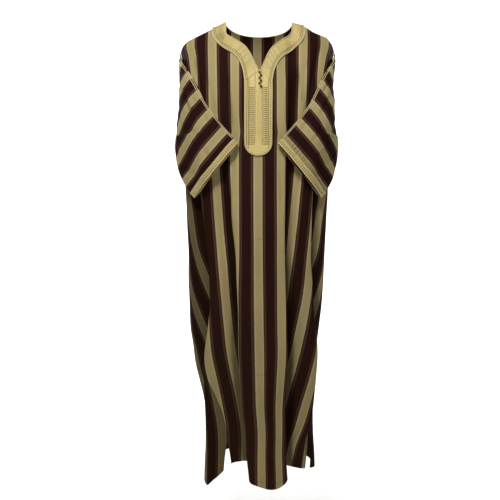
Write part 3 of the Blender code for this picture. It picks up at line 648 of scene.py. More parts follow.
def creamCord():
    # a strand that winds round the cord once in 4.6 mm: pale along it and darker between its turns, with
    # fine fibres; the bump is the strand and fibres
    mat, shader, (along, turn, _third) = surface("creamCord", {"Sheen Weight": 0.1, "IOR": 1.25})
    strand = (along * (1 / 0.0046) + turn).wave(1.0)
    fibre = along.noise(along * 900.0, turn * 9.0, 0.0, 2.0)
    color = (strand * 0.75 + fibre * 0.35).rise(0.10, 0.85).mix(dyesAndShades["cordDark"], dyesAndShades["cordPale"])
    connect(shader, color, fibre * 0.2 + 0.45, strand + fibre * 0.3, 0.0006)
    return mat


def buttonKnot():
    # crossing strands: bronze on the strands and near black between them, and the bump is the strands
    mat, shader, (strand, _second, _third) = surface("buttonKnot", {"Sheen Weight": 0.1})
    color = strand.rise(0.25, 0.95).mix(dyesAndShades["knotDark"], dyesAndShades["knotPale"])
    connect(shader, color, strand * 0.1 + 0.42, strand, 0.0002)
    return mat


cloth = {"ending": "_cloth", "mat": stripedCloth(), "slot": "striped_cloth", "thickness": robe["wall"],
         "held": "draped"}
braid = {"ending": "_braid", "mat": goldBraid(), "slot": "gold_braid", "thickness": robe["braid"],
         "held": "stretched"}
corded, knotted = creamCord(), buttonKnot()

# Front and back panels
panels = {
    "columns": (200, 150),  # front, back
    "upperRows": 56,
    "lowerRows": (150, 120),
    "crowding": 1.9,  # how much closer the rows are at the shoulder
    "joinRows": 7.0,  # rows beside the underarm's height over which the bend is softened
    "wander": 0.0006,
    "depth": 1.5,  # of the creases, against the tables
    "neckClear": (0.150, 0.050),  # no creases this near to the neck, and full ones this much farther out
    "bibClear": (0.052, 0.020),  # and the same beside the middle
    "bibEnd": (-0.430, -0.030),  # and below the bib
    "foldWidth": 0.022,  # cloth as near as this on each side counts as beside a place in a fold
    "foldDepth": (0.004, 0.028),  # depth at which the painted fold shade mark starts, and how much more makes it 1
    "foldTop": (-0.22, -0.14),  # height at which it starts, and over how much
    "troughDepth": 0.008,  # of a crease whose trough gets the full painted shade
    "troughDark": 0.85,  # and that painted shade mark
    "cuts": ((0.58, 1.40), (0.66, 1.42)),
    "frontCreases": [
        # place in the cloth and height at each end, width, depth, mm
        (112, -85, 98, -400, 13, -6), (82, -120, 76, -400, 9, 2.2), (-82, -110, -88, -380, 12, -4.2),
        (-128, -90, -112, -330, 9, 2), (180, -75, 152, -340, 13, -5.8),
        (-186, -80, -160, -320, 11, -4.6), (-165, -130, -120, -300, 9, -2.2),
        (-190, -180, -165, -360, 7, 1.6), (150, -110, 125, -270, 9, -2.2),
        (185, -160, 160, -330, 7, 1.4), (-60, -300, -75, -560, 8, -2.2), (70, -310, 62, -560, 8, -2),
        (-140, -420, -150, -700, 8, -2.4), (-112, -470, -118, -780, 6, 1.8),
        (130, -430, 146, -690, 8, -2.2), (105, -480, 112, -760, 6, 1.6),
        (-200, -430, -235, -520, 7, -2.4), (215, -440, 255, -540, 7, -2.2),
        (-185, -690, -160, -712, 4, -2.2), (-215, -560, -180, -640, 5.5, -1.8),
        (20, -560, 12, -900, 9, 1.8), (-22, -640, -26, -980, 8, -1.6), (40, -900, 34, -1280, 9, -2),
        (-10, -980, -18, -1300, 8, 1.6), (-85, -900, -90, -1220, 8, -2), (96, -880, 100, -1200, 8, -2),
        (140, -980, 146, -1290, 8, 1.6), (-140, -980, -150, -1290, 8, 1.6),
        (-20, -646, 70, -650, 3, -1), (10, -1020, 90, -1024, 3, -1), (0, -664, 30, -668, 2.6, 0.7),
        (240, -700, 215, -860, 6, -1.8),
    ],
    "backCreases": [
        (420, -90, 440, -330, 10, -2.6), (-420, -100, -440, -320, 10, -2.6),
        (530, -80, 545, -300, 9, -1.8), (-520, -80, -535, -300, 9, 1.8), (360, -250, 400, -420, 8, 2),
        (-360, -260, -400, -430, 8, 2), (480, -420, 490, -840, 10, -2.4),
        (-480, -420, -486, -840, 10, -2.4), (560, -500, 566, -960, 9, 1.8),
        (-400, -700, -396, -1140, 9, 1.8), (400, -760, 404, -1180, 9, -2.2),
        (510, -900, 516, -1270, 9, -2), (-540, -880, -545, -1260, 9, -2),
        (450, -640, 520, -650, 3.4, -1),
    ],
}


def foldDepth(grid, side):
    # 0 on the outermost cloth of each row, up to 1 where the cloth lies far behind what is beside it: painted
    # shade of the folds
    out = side * grid[..., 1]
    deep = np.zeros_like(out)
    for k, (x, y) in enumerate(zip(grid[..., 0], out)):
        beside = np.abs(x[:, None] - x) < panels["foldWidth"]
        deep[k] = np.where(beside, y, -1.0).max(axis=1) - y
    deep = fade(deep, *panels["foldDepth"]) * fade(grid[..., 2], *panels["foldTop"])
    for _again in range(3):
        relax(deep, 0.5)
        relax(deep.T, 0.5)
    return deep


def seamPlaces(side, q, z):
    # places in the cloth across a panel at the height z, from seam to seam as q runs from -1 to 1
    left = bodyAt("seamLeft", z) - side * halfGap(0, z)
    right = bodyAt("seamRight", z) + side * halfGap(1, z)
    first, last = (left, right) if side < 0 else (right, left + around)
    return first + (last - first) * (q + 1) / 2


def topEdge(side, x):
    # height of a panel's upper edge: the ridge, cut out round the neck
    top = ridge(x)
    if side > 0:
        return top - robe["backDip"] * np.sqrt(np.clip(1 - ((x - neckMiddle) / neckHalf) ** 2, 0, 1))
    a, b = shoulder["neckFront"]
    opening = np.concatenate([[(a, ridge(a))], bandRows["left"][2:, :2], bandRows["right"][:1:-1, :2],
                              [(b, ridge(b))]])
    return np.where((x > a) & (x < b), np.interp(x, opening[:, 0], opening[:, 1]), top)


def panel(side):
    # the front (side -1) or back (side 1) panel: its points, its marks place (place in the cloth, height and
    # height above the hem) and its painted shade mark for folds and creases
    which = (side + 1) // 2
    q = np.linspace(-1, 1, panels["columns"][which])
    underarm = np.full(len(q), robe["underarm"])
    chestS = seamPlaces(side, q, underarm)
    chest = bodyPoint(chestS, underarm)
    rows = np.linspace(0, 1, panels["upperRows"]) ** panels["crowding"]
    xTop = -side * q * (robe["armholeX"] - robe["seam"])
    top = topEdge(side, xTop)
    z = top + (robe["underarm"] - top) * rows[:, None]
    blend = smooth(rows if side < 0 else (rows - 0.2) / 0.8)[:, None]
    x = xTop + (chest[:, 0] - xTop) * blend
    ripple = chest[:, 1] - upperY(chest[:, 0], underarm, side)
    y = upperY(x, z, side) + side * robe["seam"] + ripple * blend * (side > 0)
    # cloth of the back reads its stripes from the right, and over the shoulder from its own middle
    flat = xTop if side < 0 else around / 2 - xTop
    points, places = [np.stack([x, y, z], axis=-1)], [flat + (chestS - flat) * blend]
    for part in np.linspace(0, 1, panels["lowerRows"][which] + 1)[1:]:
        # a place in the cloth depends on its height, and the hem's height on the place
        zz = np.full(len(q), -0.9)
        for _again in range(4):
            s = seamPlaces(side, q, zz)
            zz = robe["underarm"] + part * (hem(s) - robe["underarm"])
        points.append(bodyPoint(s, zz)[None])
        places.append(s[None])
    grid, places = np.concatenate(points), np.concatenate(places)
    fromJoin = np.arange(len(grid)) - (len(rows) - 1)
    near = np.exp(-(fromJoin / panels["joinRows"]) ** 2)[1:-1, None, None]
    grid = slim(relax(grid, 0.5 * near, 40))
    z = grid[..., 2]
    keep = fade(np.hypot(grid[..., 0], z + 0.02), *panels["neckClear"])
    if side < 0:
        keep *= np.maximum(fade(np.abs(grid[..., 0]), *panels["bibClear"]), fade(z, *panels["bibEnd"]))
    keep *= smooth(np.minimum(np.arange(len(q)), np.arange(len(q))[::-1]) / 8)
    table = np.array(panels["frontCreases"] if side < 0 else panels["backCreases"]) * mm
    push = panels["depth"] * crease(table, places if side < 0 else wrapped(places), z)
    push = (push + panels["wander"] * uneven(places, z, 2 + side, 34.0)) * keep
    grid = grid + normals(grid) * push[..., None]
    # painted shade, strongest in the folds' hollows and the creases' troughs
    deep = foldDepth(grid, side) + panels["troughDark"] * smooth(-push / panels["troughDepth"])
    return grid, np.stack([places, grid[..., 2], grid[..., 2] - hem(places)], axis=-1), deep


for side, node, cut in zip((-1, 1), ("front_panel", "back_panel"), panels["cuts"]):
    grid, place, deep = panel(side)
    addSheet(node, cloth, grid, place, deep)

# Sleeves: each a flattened tube whose rings run down the outer side and back up the inner side
sleeve = {
    "rows": [
        # share along the sleeve, and in mm: top x, y, z, bottom x, y, z, swell outside x, y, inside x, y
        (0, -236.7, 0, -88, -236.7, 0, -342, 0, 50, 0, -50),
        (0.08, -240, -6, -97, -240, 0, -349, -5, 36, 0, -49),
        (0.2, -239.5, -36, -115, -241, -10, -368, -13, 20, 1, -30),
        (0.3, -231, -64, -136, -242, -20, -388, -18, 0, 4, -14),
        (0.4, -214, -84, -162, -241, -30, -406, -19, -16, 8, -14),
        (0.52, -188, -100, -203, -239, -42, -430, -14.5, -28, 12, -14),
        (0.68, -147, -118, -265, -227, -56, -464, -8, -33, 7, -11),
        (0.84, -102, -136, -324, -207, -70, -497, -3.5, -35, 3, -9),
        (1, -56, -149, -377, -182, -84, -525, -2, -32, 0, -8),
    ],
    "cuff": 0.018,
    "cuffRings": 9,
    "topLength": 0.446,
    "lowLength": 0.250,
    "clear": 0.010,  # from the front panel
    "frontFrom": -0.2400,  # x from which the inner side keeps clear of it
    "places": 180,
    "rings": 120,
    "firstGold": (0.056, 0.022),  # from the sleeve's end to the middle of its first gold stripe: left, right
    "foldFree": 0.10,  # share of the ring beside each fold over which the creases fade out
    "creaseEnds": (0.0, 0.08, 0.90, 0.12),  # share where they start, over how much, where they end, the same
    "puckers": (0.0007, 0.0014),  # height of the puckers beside the cuff
    "puckerPlace": (0.97, 0.035),  # share along the sleeve where they are highest, and over how much
    "cuffShade": (0.0, 0.3),  # how dark the cloth is painted beside the cuff: painted shade
    "shadeOver": 0.022,
    "troughDepth": 0.004,  # of a crease whose trough gets the full painted shade, which is half dark
    "wander": 0.0005,
    "cut": (0.54, 0.44),
    "cuffCut": (0.47, 0.018),
    "creases": (
        [
            # way down the ring and along the sleeve at each end, and width, in hundredths; depth in mm
            (16, 40, 10, 86, 4.5, -3.2), (10, 55, 30, 62, 4, 3), (24, 18, 34, 70, 4, -3.6),
            (45, 10, 56, 62, 4.5, -3.2), (62, 25, 74, 80, 4, 2.6), (86, 66, 72, 94, 3.5, -3),
            (40, 60, 46, 98, 3.5, -2), (60, 70, 58, 100, 3, 1.8), (130, 20, 140, 80, 4.5, -2.2),
            (165, 20, 160, 80, 4.5, -2.2),
        ],
        [
            (14, 36, 12, 90, 4.5, -3), (30, 20, 26, 66, 4, -3.4), (46, 12, 40, 56, 4, 2.6),
            (66, 16, 58, 74, 4.5, -3.6), (80, 40, 76, 86, 3.5, 2.6), (36, 62, 40, 98, 3, -2.2),
            (54, 72, 52, 100, 2.8, 1.8), (70, 80, 68, 100, 2.8, -1.8), (132, 20, 142, 80, 4.5, -2.2),
            (166, 20, 160, 80, 4.5, -2.2),
        ],
    ),
}
sleeveRows = np.array(sleeve["rows"]) * ([1] + [mm] * 10)
sleeveCreases = np.array(sleeve["creases"]) * ([0.01] * 5 + [mm])


def sleeveRing(share, places):
    # share runs from 0 at the armhole to 1 at the top of the cuff band and 2 at the sleeve's end
    turn = np.linspace(0, 2, places, endpoint=False)[None, :]
    down = np.where(turn < 1, turn, 2 - turn)
    down = 0.6 * down + 0.2 * (1 - np.cos(math.pi * down))
    cuff = sleeve["cuff"] / (sleeve["topLength"] + (sleeve["lowLength"] - sleeve["topLength"]) * down)
    share = np.asarray(share, float)[:, None]
    along = np.minimum(share, 1) * (1 - cuff) + np.maximum(share - 1, 0) * cuff
    rows = spline(sleeveRows, along)
    top, bottom, outer, inner = rows[..., 0:3], rows[..., 3:6], rows[..., 6:8], rows[..., 8:10]
    power = 1 - 0.42 * smooth(along / 0.3)
    swell = np.sin(math.pi * down) ** power
    wide = np.sin(math.pi * down) ** (power**3)
    point = top + (bottom - top) * down[..., None]
    point[..., 0] += inner[..., 0] * wide
    point[..., 1] += inner[..., 1] * swell
    limit = frontY(point[..., 0], point[..., 2]) - sleeve["clear"]
    over = fade(point[..., 0], sleeve["frontFrom"], 0.003) * fade(along, 0.02, 0.05)
    point[..., 1] = point[..., 1] * (1 - over) + np.minimum(point[..., 1], limit) * over
    point[..., 0] += np.where(turn < 1, (outer - inner)[..., 0] * wide, 0.0)
    point[..., 1] += np.where(turn < 1, (outer - inner)[..., 1] * swell, 0.0)
    return point


def ringNormals(ring):
    # out of the tube, with the corner's own direction where the ring folds back on itself
    padded = np.concatenate([ring[:, -1:], ring, ring[:, :1]], axis=1)
    out = normals(padded)[:, 1:-1]
    quarter = ring.shape[1] // 4
    out = out * np.sign(out[-1, quarter] @ (ring[-1, quarter] - ring[-1, -quarter]))
    run = unit(padded[:, 1:] - padded[:, :-1])
    before, after = run[:, :-1], run[:, 1:]
    turned = np.sqrt(np.maximum(1 + (before * after).sum(-1, keepdims=True), 0) / 2)
    return np.where(turned < 0.8, unit(before - after), out)


cuffRings = sleeve["cuffRings"]
sleeveShares = np.append(np.linspace(0, 1, sleeve["rings"]), np.linspace(1, 2, cuffRings)[1:])
plainRings = sleeveRing(sleeveShares, sleeve["places"])
ringShare, ringTurn = np.meshgrid(
    sleeveShares, np.linspace(0, 2, sleeve["places"], endpoint=False), indexing="ij")
fromFold = np.minimum(ringTurn, 2 - ringTurn), np.abs(ringTurn - 1)
offFold = smooth(fromFold[0] / sleeve["foldFree"]) * smooth(fromFold[1] / sleeve["foldFree"])
creaseStart, startOver, creaseEnd, endOver = sleeve["creaseEnds"]
sleeveForms = []
for which, side in enumerate(("left", "right")):
    turned = (1, -1)[which]
    rings = slim(plainRings * [turned, 1, 1])
    out = ringNormals(rings)
    sleeveForms.append((rings, out))
    fromEnd = runLength(rings[::-1])[::-1]
    push = crease(sleeveCreases[which], ringTurn, ringShare) * fade(ringShare, creaseStart, startOver)
    push = push * fade(ringShare, creaseEnd + endOver, -endOver)
    highest, over = sleeve["puckerPlace"]
    pucker = np.sin(ringTurn * 150 + 3 * np.sin(ringTurn * 11)) * np.exp(-((ringShare - highest) / over) ** 2)
    push += sleeve["puckers"][which] * pucker
    push += sleeve["wander"] * uneven(ringTurn * 0.4, fromEnd, 5 + which, 40.0)
    grid = rings + out * (push * offFold)[..., None]
    run = np.cumsum(np.linalg.norm(grid - np.roll(grid, 1, axis=1), axis=-1), axis=1)
    beside = np.exp(-((fromEnd - sleeve["cuff"]) / sleeve["shadeOver"]) ** 2)
    # painted shade in the creases' troughs and beside the cuff
    deep = 0.5 * smooth(-push * offFold / sleeve["troughDepth"]) + sleeve["cuffShade"][which] * beside
    place = np.stack([fromEnd - sleeve["firstGold"][which], run, np.ones_like(run)], axis=-1)
    proud = robe["wall"] / 2 + robe["braid"] / 2 + 2 * robe["lift"]
    band = (rings + out * proud)[-cuffRings:]
    bandPlace = np.stack([run, sleeve["cuff"] - fromEnd, np.full_like(run, 0.6)], axis=-1)[-cuffRings:]
    grid, place, deep, band, bandPlace = (v[:, ::turned] for v in (grid, place, deep, band, bandPlace))
    addSheet("sleeve_" + side, cloth, grid, place, deep, True)
    addSheet("cuff_" + side, braid, band, bandPlace, None, True)
print("panels and sleeves made")


# Braid bands round the neck, and the bib
trim = {
    "bandCut": (0.044, 0.26),
    "backCut": (0.30, 0.075),
    "bandRibs": 0.8,  # strength of the ribs woven into the bands
    "ribEdges": (0.004, 0.007),  # where they stop, from the inner and the outer edge
    "backWidth": 0.0375,  # of the back band at the shoulders, and down the back behind the neck
    "backDrop": 0.036,
    "backInset": 0.001,
    "outSpan": (0.0014, 0.0114),
    "cordClear": 0.0030,  # of the cords' middle from the plane of the shoulders
    "cordStep": 0.0022,  # between a front cord's points
}
braidTop = robe["lift"] + robe["braid"]  # of the bib, above the cloth
bandTop = 2 * robe["lift"] + robe["braid"]  # of the front bands, over the bib
backTop = 5 * robe["lift"] + robe["braid"]  # of the back band, above the cloth


def bandLine(side, share, inset, fromOuter=False):
    # x and z on a front band at a share of its length, inset from its inner or outer edge
    rows = bandRows[side]
    line = spline(np.column_stack([np.linspace(0, 1, len(rows)), rows]), share)
    inner, outer = line[..., 0:2], line[..., 2:4]
    part = inset / np.linalg.norm(outer - inner, axis=-1, keepdims=True)
    part = 1 - part if fromOuter else part
    spot = inner * (1 - part) + outer * part
    return spot[..., 0], np.minimum(spot[..., 1], ridge(spot[..., 0]) - neckBand["under"])


def backBandPoint(turn, part, proud):
    # turn runs from pi at the left shoulder to 0 at the right, part from 0 at the neck edge to 1 outside
    half = neckHalf - trim["backInset"]
    turn, part = np.broadcast_arrays(turn, part)
    x = neckMiddle + (half + trim["backWidth"] * part) * np.cos(turn)
    inner = ridge(neckMiddle + half * np.cos(turn)) - robe["backDip"] * np.sin(turn)
    outer = ridge(neckMiddle + (half + trim["backWidth"]) * np.cos(turn))
    outer = outer - (robe["backDip"] + trim["backDrop"]) * np.sin(turn)
    z = np.minimum(inner * (1 - part) + outer * part, ridge(x) - neckBand["under"])
    spot = onCloth(backY, 1, x, z, proud)
    spot[..., 1] = np.maximum(spot[..., 1], neckBand["clear"])
    return spot


def bandPlace(grid, share, axis):
    # along the band, distance from its outer edge, and the ribs' strength, which fades at the lower end
    along, inward = runLength(grid, axis), runLength(grid, 1 - axis)
    inner, outer = trim["ribEdges"]
    fromOuter = np.take(inward, [-1], 1 - axis) - inward
    ribs = trim["bandRibs"] * fade(inward, inner, 0.002) * fade(fromOuter, outer, 0.002)
    along = along.mean(1 - axis, keepdims=True) + 0 * along
    return np.stack([along, fromOuter, ribs * smooth((1.0 - share) / 0.2)], axis=-1)


share, part = np.linspace(0, 1, 110)[:, None], np.linspace(0, 1, 15)[None, :]
for side in ("left", "right"):
    x, z = (inner * (1 - part) + outer * part
            for inner, outer in zip(bandLine(side, share, 0.0), bandLine(side, share, 0.0, True)))
    grid = onFront(x, z, 2 * robe["lift"] + robe["braid"] / 2)
    grid[..., 1] = np.minimum(grid[..., 1], -neckBand["clear"])
    addSheet("neck_band_" + side, braid, grid, bandPlace(grid, share, 0))
turn = np.linspace(math.pi, 0, 120)[None, :]
grid = backBandPoint(turn, part.T, backTop - robe["braid"] / 2)
addSheet("neck_band_back", braid, grid, bandPlace(grid, 0.0, 1))

bib = {
    "x": 0.001,
    "lean": 0.002,  # of its upper end to the right
    "half": 0.040,
    "top": (-0.1600, 0.0325),  # height in the middle, and how much lower its upper edge is at the sides
    "end": -0.372,  # foot of its straight sides
    "round": 0.038,  # how far the rounded end hangs below it
    "cut": (0.084, 0.25),
    "cordInsets": (0.0014, 0.0042),  # of the two cords along its outer edge
    "cordsJoin": -0.202,  # height at which these leave the bands' edges
    "cordRadius": 0.0014,
    "middleCords": (-0.0083, -0.0008, 0.0046),
    "middleTops": (-0.174, -0.219, -0.174),
    "middleEnd": -0.362,
    "rungColumns": (-0.0175, 0.0190),
    "rungSlants": (-0.0002, 0.0012),
    "rungSpan": (-0.213, -0.378),
    "rungHalf": 0.0085,
    "rungPitch": 0.0060,
    "rungRadius": 0.0011,
    "ladder": (-0.209, -0.381),  # span of the darker ground of the rungs
}


def bibOutline(q, inset):
    drop = (bib["round"] - inset) * np.sqrt(np.clip(1 - np.abs(q) ** 2.2, 0, 1))
    return bib["x"] + (bib["half"] - inset) * q, bib["end"] - drop


q, part = np.linspace(-1, 1, 61)[None, :], np.linspace(0, 1, 120)[:, None]
top = bib["top"][0] - bib["top"][1] * np.abs(q)
z = top * (1 - part) + bibOutline(q, 0.0)[1] * part
middle = bib["x"] + bib["lean"] * (1 - part)
x = middle + bib["half"] * q
tucked = robe["seam"] * (1 - smooth((top - z) / 0.009))
grid = onFront(x, z, robe["lift"] + robe["braid"] / 2 - tucked)
ladder = sum(smooth((bib["rungHalf"] + 0.0008 - np.abs(x - at)) / 0.001) for at in bib["rungColumns"])
ladder = ladder * fade(z, bib["ladder"][0], -0.002) * fade(z, bib["ladder"][1], 0.002)
place = np.stack([-z, bib["half"] - np.abs(x - middle), 1.3 * ladder], axis=-1)
addSheet("bib", braid, grid, place)


def addTubes(name, paths, outs, sizes, sides, wide=1.0, replaced=()):
    # tubes round lines of points, in one mesh; outs face away from the cloth, and sizes are the rings' radii
    run = unit(np.gradient(paths, axis=1))
    across = unit(np.cross(run, outs))
    up = np.cross(across, run)
    turn = np.linspace(0, 2 * math.pi, sides, endpoint=False)[:, None]
    spread = wide * across[:, :, None] * np.cos(turn) + up[:, :, None] * np.sin(turn)
    rings = paths[:, :, None] + sizes[:, None, None] * spread
    count, length = paths.shape[:2]
    faces = gridFaces(length, sides, True) + length * sides * np.arange(count)[:, None, None]
    place = np.broadcast_arrays(runLength(paths, 1)[..., None], turn[:, 0] / (2 * math.pi), 0.0)
    marks = {"place": np.stack(place, axis=-1)}
    addMesh(name, rings, faces.reshape(-1, 4), corded, marks, replaced)


def addCord(name, path, out, radius, replaced=()):
    sizes = np.full(len(path), radius)
    sizes[[0, -1]] = 1e-5
    sizes[[1, -2]] = radius * 0.75
    addTubes(name, path[None], out[None], sizes, 8, 1.0, replaced)


def addBars(name, sets, radius):
    # short rounded bars, all in one mesh: sets of start points, end points and directions out
    start, end, out = (np.concatenate(column)[:, None] for column in zip(*sets))
    at = np.array([0.0, 0.05, 0.5, 0.95, 1.0])[:, None]
    sizes = radius * np.array([0.01, 0.8, 1.0, 0.8, 0.01])
    addTubes(name, start + (end - start) * at, out, sizes, 6, 1.25)


def backOut(turn, part):
    # direction out of the back on its band, between two heights above the cloth
    low, high = trim["outSpan"]
    return backBandPoint(turn, part, high) - backBandPoint(turn, part, low)


def frontCord(name, x, z, radius, replaced=()):
    # a cord on the bands and the bib, along points at even steps, a little rounded
    line = np.stack([x, z], axis=-1)
    length = runLength(line)
    at = np.linspace(0, length[-1], max(int(length[-1] / trim["cordStep"]), 6))
    line = np.stack([np.interp(at, length, line[:, k]) for k in range(2)], axis=-1)
    x, z = relax(line, 0.5, 12).T
    path = onFront(x, z, bandTop + radius * 0.75)
    path[:, 1] = np.minimum(path[:, 1], -trim["cordClear"])
    addCord(name, path, outward(frontY, -1, x, z), radius, replaced)


share = np.linspace(0, 1, 60)
for k, inset in enumerate(bib["cordInsets"]):
    left, right = bandLine("left", share, inset, True), bandLine("right", share[::-1], inset, True)
    side = np.linspace(bib["cordsJoin"], bib["end"], 40)
    halfWide = np.full_like(side, bib["half"] - inset)
    foot = bibOutline(np.sin(np.linspace(-math.pi / 2, math.pi / 2, 60)), inset)
    x = np.concatenate([left[0], bib["x"] - halfWide, foot[0], bib["x"] + halfWide, right[0]])
    z = np.concatenate([left[1], side, foot[1], side[::-1], right[1]])
    frontCord(f"edge_cord_{k + 1}", x, z, bib["cordRadius"])
downs = [np.linspace(top, bib["middleEnd"], 50) for top in bib["middleTops"]]
for k, (side, column) in enumerate((("left", 0), ("right", 2))):
    inner = bandLine(side, share[:-8], bib["cordInsets"][0])
    x = np.concatenate([inner[0], np.full(50, bib["middleCords"][column])])
    z = np.concatenate([inner[1], downs[column]])
    frontCord(f"middle_cord_{k + 1}", x, z, bib["cordRadius"], (f"bib_cord_{k + 1}",))
frontCord("middle_cord_3", np.full(50, bib["middleCords"][1]), downs[1], bib["cordRadius"] * 0.8)
turn = np.linspace(math.pi, 0, 150)
for k, part in enumerate((0.035, 0.90, 0.965)):
    path = backBandPoint(turn, part, backTop + 0.001)
    path[:, 1] = np.maximum(path[:, 1], trim["cordClear"])
    addCord(f"back_cord_{k + 1}", path, backOut(turn, part), bib["cordRadius"])


down = np.arange(*bib["rungSpan"], -bib["rungPitch"])
sets = []
for middle, slant in zip(bib["rungColumns"], bib["rungSlants"]):
    start, end = (onFront(middle + sign * bib["rungHalf"], down + sign * slant, braidTop + 0.0004)
                  for sign in (-1, 1))
    sets.append((start, end, outward(frontY, -1, middle, down)))
addBars("bib_rungs", sets, bib["rungRadius"])
rungs = {
    "share": (0.03, 0.86),  # part of the front bands' length that has them
    "insets": (0.0052, 0.0075),  # of their ends from the inner and the outer edge
    "backParts": (0.13, 0.82),  # the same on the back band, as shares of its width
    "radius": 0.0008,
    "clear": 0.0028,  # of their ends from the plane of the shoulders
}
share = np.linspace(*rungs["share"], 38)
sets = []
for side in ("left", "right"):
    lines = [bandLine(side, share, inset, k == 1) for k, inset in enumerate(rungs["insets"])]
    start, end = (onFront(x, z, bandTop - 0.0001) for x, z in lines)
    for spots in (start, end):
        spots[:, 1] = np.minimum(spots[:, 1], -rungs["clear"])
    sets.append((start, end, outward(frontY, -1, *lines[1])))
addBars("neck_rungs", sets, rungs["radius"])
turn = np.linspace(math.pi * 0.985, math.pi * 0.015, 52)
start, end = (backBandPoint(turn, part, backTop) for part in rungs["backParts"])
addBars("back_rungs", [(start, end, backOut(turn, 0.5))], rungs["radius"])


# Cuff ribs and edge cords, and the two cords beside each sleeve's upper fold
sewn = {
    "ribRings": (1, 4, 6),  # of the cuff's rings: the ribs' start, middle and end
    "ribPitch": 0.0064,
    "ribRadius": 0.0010,
    "ribFree": 0.004,  # length at the seam without ribs
    "cordRings": (7, 0),
    "cordRadius": 0.0012,
    "cordLift": 0.0006,
    "pipingShifts": (0.0004, 0.0060),  # from the fold, round to the outer side
    "pipingRadius": 0.0011,
    "pipingLift": 0.0010,
    "foldLean": 0.6,  # weight of the fold's own direction in the first piping cord's
}


def readAt(points, lengths, at):
    # points along a line at the given lengths
    return np.stack([np.interp(at, lengths, points[:, k]) for k in range(3)], axis=-1)


for side, (rings, out) in zip(("left", "right"), sleeveForms):
    closedOut = np.concatenate([out, out[:, :1]], axis=1)[-cuffRings:]
    skin = np.concatenate([rings, rings[:, :1]], axis=1)[-cuffRings:]
    skin = skin + closedOut * (robe["wall"] / 2 + bandTop)
    first, middle, last = sewn["ribRings"]
    lengths = runLength(skin[middle])
    at = np.arange(sewn["ribFree"], lengths[-1] - sewn["ribFree"], sewn["ribPitch"])
    bars = [readAt(points, lengths, at) for points in (skin[first], skin[last], closedOut[middle])]
    addBars(f"cuff_{side}_ribs", [bars], sewn["ribRadius"])
    at = np.linspace(0, lengths[-1], 260)
    for k, row in enumerate(sewn["cordRings"]):
        path = relax(readAt(skin[row] + sewn["cordLift"] * closedOut[row], lengths, at), 0.45, 3)
        addCord(f"cuff_{side}_cord_{k + 1}", path, readAt(closedOut[row], lengths, at), sewn["cordRadius"])
    lengths = runLength(rings[:, :40], 1)
    rows = range(3, len(rings) - cuffRings)
    for k, shift in enumerate(sewn["pipingShifts"]):
        # the first cord lies on the fold, the second beside it on the outer side
        path, proud = (np.array([readAt(form[j, :40], lengths[j], shift) for j in rows])
                       for form in (rings, out))
        proud = unit(proud + (sewn["foldLean"] * out[3:-cuffRings, 0] if k == 0 else 0))
        path = relax(path + proud * (robe["wall"] / 2 + sewn["pipingLift"]), 0.45, 6)
        addCord(f"piping_{side}_{k + 1}", path, proud, sewn["pipingRadius"], ("piping_" + side,))

# Knot buttons: balls with crossing strands
buttons = {
    "heights": (-0.1700, -0.1782, -0.1864, -0.1946, -0.2028, -0.2110),
    "x": 0.0070,
    "sway": 0.0022,  # to either side of x, by turns
    "radius": 0.0036,
    "grid": (20, 28),
    "strands": 3,
    "relief": (0.93, 0.09),  # share of the radius between the strands, and what they add
}
lat, lon = np.meshgrid(*(np.linspace(0, turns * math.pi, count, endpoint=turns == 1)
                         for turns, count in zip((1, 2), buttons["grid"])), indexing="ij")
strand = 0.5 + 0.5 * np.sin(buttons["strands"] * lon + 5 * lat) * np.sin(buttons["strands"] * lon - 5 * lat)
size = buttons["radius"] * (buttons["relief"][0] + buttons["relief"][1] * strand)
ball = np.stack([np.sin(lat) * np.cos(lon), np.cos(lat), np.sin(lat) * np.sin(lon)], axis=-1)
ball = ball * size[..., None]
marks = {"place": np.stack([strand, 0 * strand, 0 * strand], axis=-1)}
for k, z in enumerate(buttons["heights"]):
    x = buttons["x"] + buttons["sway"] * (1 if k % 2 else -1)
    middle = onFront(x, z, bandTop + buttons["radius"] * 0.95)
    addMesh(f"button_knot_{k + 1}", ball + middle, gridFaces(*buttons["grid"], True), knotted,
            marks, (f"button_{k + 1}",))
print("trim made")

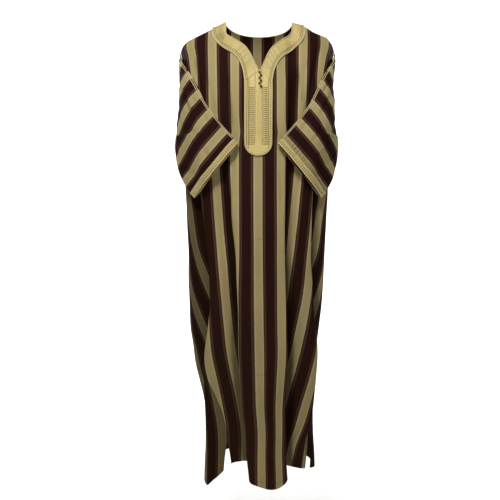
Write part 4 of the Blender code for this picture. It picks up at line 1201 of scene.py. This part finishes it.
# Floor, light and camera
studio = {
    "floorZ": -1.52,
    "floorGrey": 0.94,
    "floorHalf": 7.0,  # its half width, and the wall's height
    "frontY": -6.0,
    "wallY": 4.6,
    "world": 0.04,
    "camera": (-0.0225, -2.7, -0.678),
    "lens": 64.8,
    "pixels": 500,
    "lights": [
        # name, place, aim, size, watts
        ("key", (-0.45, -1.75, 1.15), (0, 0, -0.15), 0.5, 42),
        ("fill", (0.8, -2.3, 0.0), (0, 0, -0.4), 1.0, 4),
        ("top", (0.3, -0.3, 1.6), (0, 0, -0.4), 1.0, 2),
        ("wallLeft", (-2.6, 2.4, 1.0), (0.4, 3.8, -1.4), 1.0, 160),
        ("wallRight", (2.6, 2.4, 1.0), (-0.4, 3.8, -1.4), 1.0, 160),
    ],
}
scene = bpy.context.scene
turn = np.linspace(0, math.pi / 2, 16)
half = studio["floorHalf"]
sweepY = np.concatenate([[studio["frontY"]], studio["wallY"] - 1 + np.sin(turn), [studio["wallY"]]])
sweepZ = np.concatenate([[0.0], 1 - np.cos(turn), [half]]) + studio["floorZ"]
sweep = np.array([[(x, y, z) for x in (half, -half)] for y, z in zip(sweepY, sweepZ)])
pale, _shader = material("paleFloor", {"Base Color": (studio["floorGrey"],) * 3 + (1,), "Roughness": 0.9})
mesh = bpy.data.meshes.new("floor")
mesh.from_pydata(sweep.reshape(-1, 3), [], gridFaces(len(sweepY), 2))
mesh.materials.append(pale)
floor = bpy.data.objects.new("floor", mesh)
scene.collection.objects.link(floor)
for name, spot, aim, size, watts in studio["lights"]:
    light = bpy.data.lights.new(name, "AREA")
    light.shape = "DISK"
    light.size, light.energy = size, watts
    lamp = bpy.data.objects.new(name, light)
    lamp.location = spot
    lamp.rotation_euler = (Vector(aim) - lamp.location).to_track_quat("-Z", "Y").to_euler()
    scene.collection.objects.link(lamp)
world = bpy.data.worlds.new("studio")
world.use_nodes = True
sky = world.node_tree.nodes["Background"]
sky.inputs["Color"].default_value = (1, 1, 1, 1)
sky.inputs["Strength"].default_value = studio["world"]
scene.world = world
scene.view_settings.view_transform = "Standard"
scene.render.resolution_x = scene.render.resolution_y = studio["pixels"]
lens = bpy.data.cameras.new("camera")
lens.lens, lens.sensor_width = studio["lens"], 36.0
camera = bpy.data.objects.new("camera", lens)
camera.location = studio["camera"]
camera.rotation_euler = (math.pi / 2, 0, 0)
scene.collection.objects.link(camera)
scene.camera = camera
